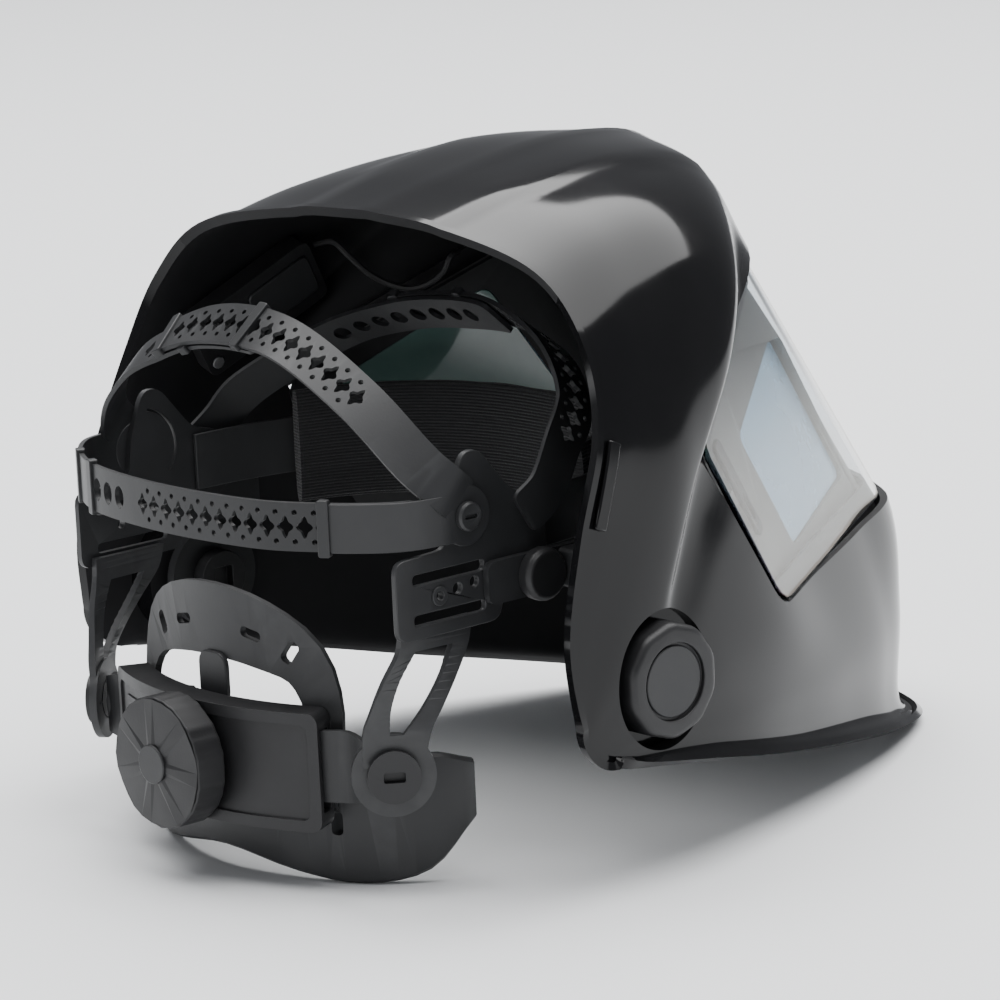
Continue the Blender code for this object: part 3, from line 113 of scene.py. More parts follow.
def area_light(name, place, target, size, power):
    data = bpy.data.lights.new(name, "AREA")
    data.shape = "RECTANGLE"
    data.size, data.size_y = size
    data.energy = power
    light = linked(name, data)
    light.location = place
    light.rotation_euler = (Vector(target) - Vector(place)).to_track_quat("-Z", "Y").to_euler()


def build_studio():
    world = bpy.data.worlds.new("studio")
    bpy.context.scene.world = world
    world.use_nodes = True
    background = world.node_tree.nodes["Background"].inputs
    background["Color"].default_value = (0.93, 0.95, 1.0, 1)
    background["Strength"].default_value = 0.3
    area_light("overhead", (0.3, -0.6, 3.2), (0, 0, 0), (5, 5), 430)
    area_light("front_softbox", (-2.6, -1.2, 0.9), (0, 0, 0.15), (0.5, 1.4), 3)
    area_light("rear_fill", (-1.4, 3.0, 1.1), (0, 0.1, 0.13), (1.6, 1.0), 12)
    bm = bmesh.new()
    bmesh.ops.create_grid(bm, x_segments=1, y_segments=1, size=12)
    mesh = bpy.data.meshes.new("floor")
    bm.to_mesh(mesh)
    bm.free()
    floor = linked("floor", mesh)
    floor.data.transform(Matrix.Translation((0, 0, cad_low.z - 0.0002)))
    mesh.materials.append(plain_finish("floor_paper", (0.86, 0.87, 0.88), 0.6))


# ---- finishes
def node_group(name, inputs, outputs):
    """Empty shader group with float inputs (name, default) and outputs (name, socket type)."""
    tree = bpy.data.node_groups.new(name, "ShaderNodeTree")
    for label, default in inputs:
        socket = tree.interface.new_socket(name=label, in_out="INPUT", socket_type="NodeSocketFloat")
        socket.default_value = default
    for label, kind in outputs:
        tree.interface.new_socket(name=label, in_out="OUTPUT", socket_type=kind)
    return tree, tree.nodes.new("NodeGroupInput"), tree.nodes.new("NodeGroupOutput")


def add_node(tree, kind, **values):
    node = tree.nodes.new(kind)
    for key, value in values.items():
        if key.replace("_", " ") in node.inputs:
            node.inputs[key.replace("_", " ")].default_value = value
        else:
            setattr(node, key, value)
    return node


def wire(tree, *links):
    """Links sockets, each given as node, output, node, input."""
    for source, output, target, socket in links:
        tree.links.new(source.outputs[output], target.inputs[socket])


def build_grain_group():
    """Fine moulded grain: height from two sizes of noise, and a mask of slow smudges."""
    tree, inputs, outputs = node_group("moulded_grain", (("Scale", 900.0), ("Smudge Scale", 22.0)),
                                       (("Height", "NodeSocketFloat"), ("Smudge", "NodeSocketFloat")))
    place = add_node(tree, "ShaderNodeTexCoord")
    fine = add_node(tree, "ShaderNodeTexNoise", Detail=2.0, Roughness=0.6)
    slow = add_node(tree, "ShaderNodeTexNoise", Detail=5.0, Roughness=0.62, Distortion=0.4)
    ramp = add_node(tree, "ShaderNodeMapRange", From_Min=0.38, From_Max=0.68)
    for node, scale in ((fine, "Scale"), (slow, "Smudge Scale")):
        wire(tree, (place, "Object", node, "Vector"),
             (inputs, scale, node, "Scale"))
    wire(tree, (slow, "Fac", ramp, "Value"),
         (fine, "Fac", outputs, "Height"),
         (ramp, "Result", outputs, "Smudge"))
    return tree


def build_edge_highlight_group():
    """Mask for a painted highlight along sharp edges: the surface's pointiness, broken into spots by noise."""
    tree, inputs, outputs = node_group("painted_edge_highlight", (("Amount", 1.0), ("Scale", 160.0)),
                                       (("Mask", "NodeSocketFloat"),))
    place = add_node(tree, "ShaderNodeTexCoord")
    surface = add_node(tree, "ShaderNodeNewGeometry")
    spots = add_node(tree, "ShaderNodeTexNoise", Detail=4.0)
    edge = add_node(tree, "ShaderNodeMapRange", From_Min=0.52, From_Max=0.62)
    both = add_node(tree, "ShaderNodeMath", operation="MULTIPLY")
    scaled = add_node(tree, "ShaderNodeMath", operation="MULTIPLY", use_clamp=True)
    wire(tree, (place, "Object", spots, "Vector"),
         (inputs, "Scale", spots, "Scale"),
         (surface, "Pointiness", edge, "Value"),
         (edge, "Result", both, 0),
         (spots, "Fac", both, 1),
         (both, "Value", scaled, 0),
         (inputs, "Amount", scaled, 1),
         (scaled, "Value", outputs, "Mask"))
    return tree


GRAIN = build_grain_group()
EDGE_HIGHLIGHT = build_edge_highlight_group()


def plain_finish(name, colour, roughness, **sockets):
    made = bpy.data.materials.new(name)
    made.use_nodes = True
    shader = made.node_tree.nodes["Principled BSDF"]
    shader.inputs["Base Color"].default_value = (*colour, 1)
    shader.inputs["Roughness"].default_value = roughness
    for socket, value in sockets.items():
        shader.inputs[socket.replace("_", " ")].default_value = value
    return made


def moulded_finish(name, colour, smudged, roughness, rough_spread, grain, bump, edge_highlight, **sockets):
    """Plastic with moulded grain, smudges that shift its colour and roughness, and sharp edges made paler by a
    painted highlight.
    """
    made = plain_finish(name, colour, roughness, **sockets)
    tree = made.node_tree
    shader = tree.nodes["Principled BSDF"]
    texture = add_node(tree, "ShaderNodeGroup", node_tree=GRAIN, Scale=grain)
    highlight_mask = add_node(tree, "ShaderNodeGroup", node_tree=EDGE_HIGHLIGHT, Amount=edge_highlight)
    tone = add_node(tree, "ShaderNodeMix", data_type="RGBA")
    tone.inputs["A"].default_value = (*colour, 1)
    tone.inputs["B"].default_value = (*smudged, 1)
    # paler colour along sharp edges: a painted highlight
    highlighted = add_node(tree, "ShaderNodeMix", data_type="RGBA")
    highlighted.inputs["B"].default_value = (*[min(1, c * 3 + 0.05) for c in colour], 1)
    rough = add_node(tree, "ShaderNodeMapRange", To_Min=roughness, To_Max=roughness + rough_spread)
    relief = add_node(tree, "ShaderNodeBump", Strength=bump, Distance=0.0002)
    wire(tree, (texture, "Smudge", tone, "Factor"),
         (tone, "Result", highlighted, "A"),
         (highlight_mask, "Mask", highlighted, "Factor"),
         (highlighted, "Result", shader, "Base Color"),
         (texture, "Smudge", rough, "Value"),
         (rough, "Result", shader, "Roughness"),
         (texture, "Height", relief, "Height"),
         (relief, "Normal", shader, "Normal"))
    return made


def knit_finish():
    """Black ribbed knit: ribs run round the band, with stitches along each rib and a little fuzz; painted shade
    darkens the troughs between ribs, and the stitches vary the tone at random.
    """
    made = plain_finish("ribbed_knit", (0.010, 0.010, 0.011), 0.95, Sheen_Weight=0.25, Sheen_Roughness=0.4)
    tree = made.node_tree
    shader = tree.nodes["Principled BSDF"]
    place = add_node(tree, "ShaderNodeTexCoord")
    ribs = add_node(tree, "ShaderNodeTexWave", bands_direction="Z", Scale=KNIT_WAVES, Distortion=0.5,
                    Detail_Scale=40)
    stitches = add_node(tree, "ShaderNodeTexNoise", Scale=1400.0, Detail=3.0)
    height = add_node(tree, "ShaderNodeMix", data_type="FLOAT", Factor=0.45)
    relief = add_node(tree, "ShaderNodeBump", Strength=0.9, Distance=0.0007)
    # colour follows the height of ribs and stitches: painted shade darkens the troughs between ribs, and the
    # stitch noise varies the tone at random
    tone = add_node(tree, "ShaderNodeMix", data_type="RGBA")
    tone.inputs["A"].default_value = (0.004, 0.004, 0.005, 1)
    tone.inputs["B"].default_value = (0.030, 0.030, 0.032, 1)
    wire(tree, (place, "Object", ribs, "Vector"),
         (place, "Object", stitches, "Vector"),
         (ribs, "Fac", height, "A"),
         (stitches, "Fac", height, "B"),
         (height, "Result", relief, "Height"),
         (height, "Result", tone, "Factor"),
         (tone, "Result", shader, "Base Color"),
         (relief, "Normal", shader, "Normal"))
    return made


KNIT_WAVES = 250.0                  # wave texture scale for ribs about 1.3 mm apart
# in each moulded finish the last three numbers are grain scale, bump strength and the amount of painted edge
# highlight
FINISH = {
    "gloss_shell": moulded_finish("gloss_black_shell", (0.004, 0.004, 0.0045), (0.005, 0.005, 0.0055),
                                  0.08, 0.04,
                                  500, 0.02, 0.0, IOR=1.3),
    "shell_inside": moulded_finish("matte_shell_inside", (0.008, 0.008, 0.009), (0.011, 0.011, 0.012),
                                   0.62, 0.10,
                                   700, 0.12, 0.0, Specular_IOR_Level=0.25),
    "mask_frame": moulded_finish("mask_frame_grey", (0.085, 0.086, 0.084), (0.11, 0.11, 0.108), 0.42, 0.12,
                                 900, 0.12, 0.2),
    "black_plastic": moulded_finish("matte_black_plastic", (0.010, 0.010, 0.011), (0.013, 0.013, 0.014),
                                    0.40, 0.12,
                                    1100, 0.2, 0.25, Specular_IOR_Level=0.4),
    "grey_plastic": moulded_finish("satin_grey_plastic", (0.015, 0.0155, 0.0165), (0.019, 0.0195, 0.021),
                                   0.40, 0.10,
                                   900, 0.15, 0.3, Specular_IOR_Level=0.4),
    "blue_filter": moulded_finish("blue_filter_coating", (0.30, 0.50, 0.68), (0.34, 0.54, 0.72), 0.22, 0.08,
                                  60, 0.02, 0.0, Metallic=0.25),
    "green_glass": moulded_finish("green_inner_glass", (0.10, 0.17, 0.155), (0.12, 0.20, 0.18), 0.08, 0.08,
                                  60, 0.02, 0.0, Coat_Weight=1.0),
    "steel": moulded_finish("plain_steel", (0.42, 0.42, 0.43), (0.50, 0.50, 0.51), 0.30, 0.15,
                            1200, 0.2, 0.0, Metallic=1.0),
    "wire_rubber": moulded_finish("wire_sleeve", (0.014, 0.014, 0.015), (0.020, 0.020, 0.021), 0.5, 0.15,
                                  1200, 0.2, 0.0),
    "knit": knit_finish(),
}


def clear_finish():
    """Clear polycarbonate, faintly smudged, with a thin film's weak colours at grazing angles."""
    made = plain_finish("clear_polycarbonate", (0.96, 0.98, 0.985), 0.02, Transmission_Weight=1.0, IOR=1.3,
                        Thin_Film_Thickness=480, Thin_Film_IOR=1.35)
    tree = made.node_tree
    shader = tree.nodes["Principled BSDF"]
    texture = add_node(tree, "ShaderNodeGroup", node_tree=GRAIN)
    rough = add_node(tree, "ShaderNodeMapRange", To_Min=0.015, To_Max=0.06)
    wire(tree, (texture, "Smudge", rough, "Value"),
         (rough, "Result", shader, "Roughness"))
    return made


FINISH["clear_cover"] = clear_finish()


# ---- making pieces
def to_object(name, bm, look, bevel=0.0, smooth_angle=35):
    """A named object from a bmesh, with smooth round parts and, if wanted, softened edges."""
    mesh = bpy.data.meshes.new(name)
    bm.to_mesh(mesh)
    bm.free()
    mesh.materials.clear()
    mesh.materials.append(FINISH[look])
    mesh.shade_smooth()
    mesh.set_sharp_from_angle(angle=math.radians(smooth_angle))
    obj = linked(name, mesh)
    if bevel:
        soften = obj.modifiers.new("soften", "BEVEL")
        soften.width = bevel
        soften.segments = 2
        soften.limit_method = "ANGLE"
        soften.angle_limit = math.radians(28)
    return obj


def piece(name, bm, look, body, bevel=0.0, replaced=(), **options):
    """A finished piece on its body, with its finish's slot, that may stand for CAD nodes."""
    obj = to_object(name, bm, look, bevel, **options)
    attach(obj, body)
    if replaced:
        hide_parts(*replaced)
    return obj


def copy_of(node):
    """Merged copy of a CAD node's mesh with its flat faces whole."""
    bm = bmesh.new()
    bm.from_mesh(NODES[node].data)
    bmesh.ops.remove_doubles(bm, verts=bm.verts[:], dist=1e-6)
    bmesh.ops.dissolve_limit(bm, angle_limit=math.radians(0.6), verts=bm.verts[:], edges=bm.edges[:])
    return bm


def refined(node, bevel, look=None, smooth_angle=35):
    """Stands for a CAD node with its edges softened."""
    return piece(f"{node}_body", copy_of(node), look or SLOT_OF[node], BODY_OF[node], bevel, (node,),
                 smooth_angle=smooth_angle)


def join_into(bm, other):
    """Adds another bmesh's shape to this one and frees it."""
    mesh = bpy.data.meshes.new("part")
    other.to_mesh(mesh)
    other.free()
    bm.from_mesh(mesh)
    bpy.data.meshes.remove(mesh)
    return bm


def with_modifiers(body, *tools):
    """Shape of a working object after its modifiers; it and its tools are removed."""
    graph = bpy.context.evaluated_depsgraph_get()
    result = bmesh.new()
    result.from_mesh(body.evaluated_get(graph).to_mesh())
    for obj in (body, *tools):
        bpy.data.objects.remove(obj, do_unlink=True)
    return result


def carve(bm, cutters, operation="DIFFERENCE", solver="EXACT"):
    """Cuts the shape by all the cutters, which may not touch each other, and gives the result."""
    body = to_object("work_body", bm, "steel")
    tool = to_object("work_tool", cutters, "steel")
    step = body.modifiers.new("carve", "BOOLEAN")
    step.operation = operation
    step.solver = solver
    step.object = tool
    return with_modifiers(body, tool)


def plate(outline_maker, low, high, place=Matrix()):
    """Extruded shape: outline_maker draws one face in a new bmesh, which becomes a prism along Z."""
    bm = bmesh.new()
    outline_maker(bm)
    bmesh.ops.translate(bm, verts=bm.verts[:], vec=(0, 0, low))
    made = bmesh.ops.extrude_face_region(bm, geom=bm.faces[:])["geom"]
    bmesh.ops.translate(bm, verts=[v for v in made if isinstance(v, bmesh.types.BMVert)],
                        vec=(0, 0, high - low))
    place_by(bm, place)
    face_outward(bm)
    return bm


def disc(radius, segments=24, shape=lambda angle: 1.0, squeeze=(1, 1), middle=(0, 0)):
    """Outline maker: a circle whose radius follows shape(angle), squeezed along X and Y."""
    def draw(bm):
        made = bmesh.ops.create_circle(bm, cap_ends=True, segments=segments, radius=radius)["verts"]
        for vert in made:
            swell = shape(math.atan2(vert.co.y, vert.co.x))
            vert.co.x = vert.co.x * swell * squeeze[0] + middle[0]
            vert.co.y = vert.co.y * swell * squeeze[1] + middle[1]
    return draw


def panel(width, height, corner, middle=(0, 0)):
    """Outline maker: a rectangle with rounded corners."""
    def draw(bm):
        made = bmesh.ops.create_grid(bm, x_segments=1, y_segments=1, size=0.5)["verts"]
        bmesh.ops.scale(bm, verts=made, vec=(width, height, 1))
        bmesh.ops.bevel(bm, geom=bm.verts[:], affect="VERTICES", offset=corner, segments=4, profile=0.5,
                        material=-1)
        bmesh.ops.translate(bm, verts=bm.verts[:], vec=(*middle, 0))
    return draw


def lateral(side, x, y, z):
    """Frame whose Z points outward along the side's X, with its own X backward and Y up."""
    return Matrix(((0, 0, side, side * x), (1, 0, 0, y), (0, 1, 0, z), (0, 0, 0, 1)))


def smooth_line(points, steps):
    """Catmull-Rom curve through the points, with a number of steps in each interval."""
    points = [Vector(p) for p in points]
    padded = [points[0] * 2 - points[1]] + points + [points[-1] * 2 - points[-2]]
    line = []
    for a, b, c, d in zip(padded, padded[1:], padded[2:], padded[3:]):
        for k in range(steps):
            t = k / steps
            line.append(0.5 * (2 * b + (c - a) * t + (2 * a - 5 * b + 4 * c - d) * t ** 2
                               + (3 * b - a - 3 * c + d) * t ** 3))
    return line + [points[-1]]


class Route:
    """A line that flat shapes are bent along, with an outward direction at each point."""

    def __init__(self, line, normals):
        self.line, self.normals = line, normals
        self.reach = [0.0]
        for a, b in zip(line, line[1:]):
            self.reach.append(self.reach[-1] + (b - a).length)
        self.length = self.reach[-1]

    def place(self, along, across, depth):
        """Point at a length along the route, a distance across it and a depth behind its outer face."""
        last = len(self.line) - 1
        i = 0
        while i < last - 1 and self.reach[i + 1] < along:
            i += 1
        share = (along - self.reach[i]) / max(self.reach[i + 1] - self.reach[i], 1e-9)
        ways = []
        for k in (i, i + 1):
            way = (self.line[min(k + 1, last)] - self.line[max(k - 1, 0)]).normalized()
            side = way.cross(self.normals[k]).normalized()
            ways.append((side, way.cross(side).normalized()))
        side = ways[0][0].lerp(ways[1][0], share).normalized()
        inward = ways[0][1].lerp(ways[1][1], share).normalized()
        return self.line[i].lerp(self.line[i + 1], share) + side * across + inward * depth


def bend(bm, route, spacing=2.5 * MM):
    """Bends a flat shape, drawn with X along and Y across, along a route; Z is the height above it."""
    lowest = min(vert.co.x for vert in bm.verts)
    highest = max(vert.co.x for vert in bm.verts)
    cuts = int((highest - lowest) / spacing)
    for k in range(1, cuts):
        where = lowest + (highest - lowest) * k / cuts
        bmesh.ops.bisect_plane(bm, geom=bm.verts[:] + bm.edges[:] + bm.faces[:], dist=1e-7,
                               plane_co=(where, 0, 0), plane_no=(1, 0, 0))
    for vert in bm.verts:
        vert.co = route.place(vert.co.x, vert.co.y, -vert.co.z)
    face_outward(bm)
    return bm


# ---- perforations
STAR_PITCH, STAR_RADIUS = 7.4 * MM, 3.4 * MM
PIN_HOLE_RADIUS, PIN_HOLE_ACROSS, HOLE_DEPTH = 1.05 * MM, 5.4 * MM, 6 * MM


def star(angle):
    return 1.0 - 0.40 * abs(math.sin(2 * angle)) ** 1.5


def star_holes(start, end):
    """Row of four-pointed slots, with a pair of small round holes between each two of them."""
    cutters = bmesh.new()
    count = int((end - start) / STAR_PITCH)
    for k in range(count):
        x = start + (k + 0.5) * STAR_PITCH
        join_into(cutters, plate(disc(STAR_RADIUS, 24, star, (0.95, 1.25), (x, 0)), -HOLE_DEPTH,
                                 HOLE_DEPTH))
        if k:
            for side in (-1, 1):
                pin = disc(PIN_HOLE_RADIUS, 10, middle=(x - STAR_PITCH / 2, side * PIN_HOLE_ACROSS))
                join_into(cutters, plate(pin, -HOLE_DEPTH, HOLE_DEPTH))
    return cutters


def round_holes(start, end, pitch, radius, squeeze=(1, 1)):
    """Row of large round or oval holes."""
    cutters = bmesh.new()
    for k in range(int((end - start) / pitch)):
        hole = disc(radius, 20, squeeze=squeeze, middle=(start + (k + 0.5) * pitch, 0))
        join_into(cutters, plate(hole, -HOLE_DEPTH, HOLE_DEPTH))
    return cutters


# ---- shell
# Half sections of the shell's outer surface from the rear rim over the crown, the brow and the chin to
# the flange, in millimetres about the middle of the tilt axis's foot.
SHELL_SECTIONS = (
    ((144, 47, 98), (141, 37, 134), (137, 23, 169), (124, 16, 199), (98, 13, 222), (50, 11, 232),
     (0, 11, 235)),
    ((144, 37, 94), (140, 21, 132), (135, 2, 168), (122, -10, 202), (95, -22, 230), (50, -31, 242),
     (0, -35, 245)),
    ((144, 24, 88), (139, 2, 124), (133, -22, 162), (120, -44, 200), (94, -59, 231), (50, -78, 247),
     (0, -88, 252)),
    ((143, 12, 83), (138, -8, 114), (131, -30, 148), (120, -60, 186), (96, -86, 217), (54, -111, 239),
     (0, -130, 246)),
    ((142, 4, 77), (136, -12, 104), (129, -28, 132), (118, -49, 161), (95, -81, 182), (65, -123, 209),
     (0, -148, 220)),
    ((141, -4, 70), (135, -28, 92), (125, -52, 117), (110, -82, 134), (86, -130, 146), (55, -168, 155),
     (0, -180, 158)),
    ((140, -12, 62), (134, -42, 72), (122, -80, 80), (102, -118, 84), (78, -166, 90), (52, -208, 95),
     (0, -219, 98)),
    ((139, -16, 54), (131, -55, 52), (117, -95, 50), (98, -137, 48), (74, -183, 48), (48, -217, 50),
     (0, -236, 52)),
    ((139, -18, 46), (130, -57, 40), (115, -97, 32), (97, -137, 25), (73, -183, 17), (46, -216, 11),
     (0, -230, 9)),
    ((141, -18, 43), (132, -57, 35), (118, -98, 26), (102, -138, 18), (79, -184, 9), (50, -221, 3.4),
     (0, -240, 3.4)),
)
CORNER_CENTRE, CORNER_RADIUS = (146, 29, 67), 16
SHELL_STEPS = 8
SHELL_WALL, LIP = 3 * MM, 2 * MM
GROUND = Vector((0, PIVOT.y, 0))
PANEL_RISE = 0.9 * MM                # crown panel above the rest of the crown
PANEL_FLOOR, PANEL_SLOPE = 0.19, 3.2  # lowest height it reaches, and its border's width in millimetres
# Half width of the crown panel at points along the crown, both in millimetres, from the rim forward.
CROWN_PANEL = ((-20, 36), (11, 38), (-35, 45), (-85, 51), (-112, 50), (-128, 44), (-140, 30), (-146, 0))


def grounded(x, y, z):
    return GROUND + Vector((x, y, z)) * MM


def shell_rows():
    """Points of the left half of the outer surface, row by row from the side to the middle."""
    last = len(SHELL_SECTIONS) - 1
    ribs = []
    for j, section in enumerate(SHELL_SECTIONS):
        angle = j / last * math.pi / 2
        x, y, z = CORNER_CENTRE
        corner = grounded(x, y + CORNER_RADIUS * math.cos(angle), z - CORNER_RADIUS * math.sin(angle))
        ribs.append(smooth_line([corner] + [grounded(*point) for point in section], SHELL_STEPS))
    columns = [smooth_line([rib[i] for rib in ribs], SHELL_STEPS) for i in range(len(ribs[0]))]
    return [[column[j] for column in columns] for j in range(len(columns[0]))]


def panel_share(point):
    """How far a point of the crown is on the raised panel, from 0 to 1."""
    x, y = abs(point.x) / MM, (point.y - PIVOT.y) / MM
    if point.z < PANEL_FLOOR or y < CROWN_PANEL[-1][0]:
        return 0.0
    half = 0.0
    for (y0, w0), (y1, w1) in zip(CROWN_PANEL[1:], CROWN_PANEL[2:]):
        if y1 <= y <= y0:
            half = w0 + (w1 - w0) * (y0 - y) / (y0 - y1)
    if y > CROWN_PANEL[1][0]:
        half = CROWN_PANEL[1][1]
    share = min(max((half - x) / PANEL_SLOPE + 0.5, 0), 1)
    return share * share * (3 - 2 * share)


def shell_sheet(panelled=True):
    """Outer surface as one grid, with the crown panel raised and the edge turned outward."""
    rows = shell_rows()
    across, along = 2 * len(rows[0]) - 2, len(rows) - 1
    sheet = bmesh.new()
    bmesh.ops.create_grid(sheet, x_segments=across, y_segments=along, size=0.5)
    for vert in sheet.verts:
        i, j = round((vert.co.x + 0.5) * across), round((vert.co.y + 0.5) * along)
        half = across // 2
        point = rows[j][min(i, across - i)]
        side = 1 if i < half else -1
        vert.co = (point.x * side if i != half else 0, point.y, point.z)
    face_outward(sheet)
    crown = max(sheet.faces, key=lambda face: face.calc_center_median().z)
    if crown.normal.z < 0:
        bmesh.ops.reverse_faces(sheet, faces=sheet.faces[:])
    sheet.normal_update()
    if panelled:
        for vert, normal in [(v, v.normal.copy()) for v in sheet.verts]:
            vert.co += normal * PANEL_RISE * panel_share(vert.co)
    edges = [edge for edge in sheet.edges if edge.is_boundary]
    normals = {vert: vert.normal.copy() for edge in edges for vert in edge.verts}
    lip = bmesh.ops.extrude_edge_only(sheet, edges=edges)["geom"]
    for vert in [item for item in lip if isinstance(item, bmesh.types.BMVert)]:
        root = next(edge.other_vert(vert) for edge in vert.link_edges if edge.other_vert(vert) in normals)
        vert.co += normals[root] * LIP
    return sheet


def thickened(sheet, thickness):
    """Gives a sheet its wall, inward, with a helper object's Solidify."""
    obj = to_object("work_sheet", sheet, "steel")
    wall = obj.modifiers.new("wall", "SOLIDIFY")
    wall.thickness = thickness
    wall.offset = -1
    return with_modifiers(obj)


# Corners of the visor's left half, in millimetres like the shell's sections.
TOP_REAR, TOP_FRONT = (125, -38, 155), (64, -124, 208)
BOTTOM_REAR, BOTTOM_FRONT = (120, -83, 84), (50, -209, 96)
EDGE_ROUNDING, COVER_CORNER, COVER_BOW = 12 * MM, 9 * MM, 7 * MM
COVER_INSET = 1.0 * MM
COVER_THICKNESS = 2.5 * MM


def side_pane_frame(side):
    """Origin at the pane's top rear corner, X forward, Y down its rear edge, Z outward."""
    corner, front, low = (grounded(*p) for p in (TOP_REAR, TOP_FRONT, BOTTOM_REAR))
    down = (low - corner).normalized()
    outward = (front - corner).cross(down).normalized()
    outward = outward if outward.x > 0 else -outward
    forward = down.cross(outward)
    forward = forward if forward.y < 0 else -forward
    flip = Vector((side, 1, 1))
    return axes_frame(forward * flip, down * flip, outward * flip, corner * flip)


def front_pane_normal():
    top, bottom = grounded(*TOP_FRONT), grounded(*BOTTOM_FRONT)
    top.x = bottom.x = 0
    outward = (bottom - top).normalized().cross(Vector((1, 0, 0)))
    return outward if outward.y < 0 else -outward


def quadratic(start, pull, end, steps):
    return [start * (1 - k / steps) ** 2 + pull * (2 * k / steps * (1 - k / steps)) + end * (k / steps) ** 2
            for k in range(steps + 1)]


def visor_line(rear, front):
    """Border of the visor from its left rear corner to the middle of the front."""
    rear, front = grounded(*rear), grounded(*front)
    middle = Vector((0, front.y, front.z)) + front_pane_normal() * COVER_BOW
    turn_in = front + (rear - front).normalized() * EDGE_ROUNDING
    turn_out = front + (middle - front).normalized() * EDGE_ROUNDING
    step = (turn_in - rear).normalized() * COVER_CORNER
    line = [rear, rear + step * 0.15, rear + step * 0.5, rear + step, (rear + turn_in) / 2]
    line += quadratic(turn_in, front, turn_out, 5)
    return line + quadratic(turn_out, Vector((turn_out.x * 0.4, middle.y, middle.z)), middle, 4)[1:]


def visor_opening(bm):
    """Outline maker: side view of the opening that the cover sits in, drawn across the shell."""
    top, bottom = visor_line(TOP_REAR, TOP_FRONT), visor_line(BOTTOM_REAR, BOTTOM_FRONT)
    up = (top[0] - bottom[0]).normalized() * COVER_INSET
    back = (top[0] - top[4]).normalized() * (COVER_INSET + COVER_THICKNESS * 0.7)
    front = Vector((0, -0.24, 0))
    ring = [top[3] + up] + [p + up for p in top[4:]] + [top[-1] + up + front]
    ring += [bottom[-1] - up + front] + [p - up for p in bottom[:3:-1]] + [bottom[3] - up]
    ring += quadratic(bottom[3] - up, bottom[0] - up + back, bottom[0].lerp(top[0], 0.12) + back, 4)[1:]
    ring += quadratic(top[0].lerp(bottom[0], 0.12) + back, top[0] + up + back, top[3] + up, 4)[:-1]
    bm.faces.new([bm.verts.new((p.y, p.z, 0)) for p in ring])


SEAT_RADIUS, SEAT_RIM, HUB_RADIUS, PAD_THICKNESS, BOLT_RADIUS = 26 * MM, 1.5 * MM, 21 * MM, 4 * MM, 5 * MM
TOUCH = 0.3 * MM
PLUG_SKIN, PLUG_DEPTH = 0.4 * MM, 17 * MM       # the seat's block starts under the skin and goes this deep
PLUG_REACH, RECESS_REACH = 20 * MM, 48 * MM     # how far the block and its recess run outward
OPENING_REACH = 0.22
CORE = PIVOT + Vector((0, -0.03, 0.04))         # inside faces of the shell look towards here


def build_shell():
    """Glossy shell with a dished seat at each pivot, the visor opening and the holes for the controls."""
    bm = thickened(shell_sheet(), SHELL_WALL)
    filled = shell_sheet(panelled=False)
    for vert, normal in [(v, v.normal.copy()) for v in filled.verts]:
        vert.co -= normal * PLUG_SKIN
    filled = thickened(filled, PLUG_DEPTH)
    fill_mesh = bpy.data.meshes.new("filled")
    filled.to_mesh(fill_mesh)
    filled.free()
    seat_x = knob_low.x - TOUCH
    for side in (1, -1):
        seat = lateral(side, 0, PIVOT.y, PIVOT.z)
        inner = seat_x - PAD_THICKNESS
        solid = bmesh.new()
        solid.from_mesh(fill_mesh)
        plug = plate(disc(SEAT_RADIUS + SEAT_RIM, 64), inner, seat_x + PLUG_REACH, seat)
        plug = carve(plug, solid, "INTERSECT", "MANIFOLD")
        flat = plate(disc(HUB_RADIUS, 64), inner, seat_x, seat)
        recess = plate(disc(SEAT_RADIUS, 64), seat_x, seat_x + RECESS_REACH, seat)
        hole = plate(disc(BOLT_RADIUS + TOUCH, 32), inner - PAD_THICKNESS, seat_x + PAD_THICKNESS, seat)
        for shape, step in ((plug, "UNION"), (flat, "UNION"), (recess, "DIFFERENCE"), (hole, "DIFFERENCE")):
            bm = carve(bm, shape, step, "MANIFOLD")
    bpy.data.meshes.remove(fill_mesh)
    opening = plate(visor_opening, -OPENING_REACH, OPENING_REACH, lateral(1, 0, 0, 0))
    bm = carve(bm, opening, "DIFFERENCE", "MANIFOLD")
    controls = bmesh.new()
    for node in ("shade_knob", "grind_button"):
        middle, radius = control_axis(node)
        join_into(controls, plate(disc(radius + TOUCH, 24), -12 * MM, 12 * MM, control_frame(middle)))
    bm = carve(bm, controls, "DIFFERENCE", "MANIFOLD")
    shell = piece("shell_body", bm, "gloss_shell", BODY_OF["shell"], 0, ("shell",), smooth_angle=38)
    shell.data.materials.append(FINISH["shell_inside"])
    for face in shell.data.polygons:
        if face.normal.dot(face.center - CORE) < 0:
            face.material_index = 1


CONTROL_RADIUS = {"shade_knob": 3 * MM, "grind_button": 5.5 * MM}
BOX_SLOPE = Vector((0, -0.85, 0.53))            # the control box runs along the visor's upper border


def joint_of(child):
    return next(joint for joint in frame["joints"] if joint["child"] == BODY_OF[child])


def control_axis(node):
    """Middle of a control on the left wall and the radius of its hole."""
    joint = joint_of(node)
    if "pos_m" in joint:
        return Vector(joint["pos_m"]), CONTROL_RADIUS[node]
    low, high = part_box(node)
    return (low + high) / 2, CONTROL_RADIUS[node]


def control_frame(middle):
    outward = Vector(joint_of("shade_knob")["axis"]).normalized()
    along = (BOX_SLOPE - outward * outward.dot(BOX_SLOPE)).normalized()
    return axes_frame(along, outward.cross(along), outward, middle)


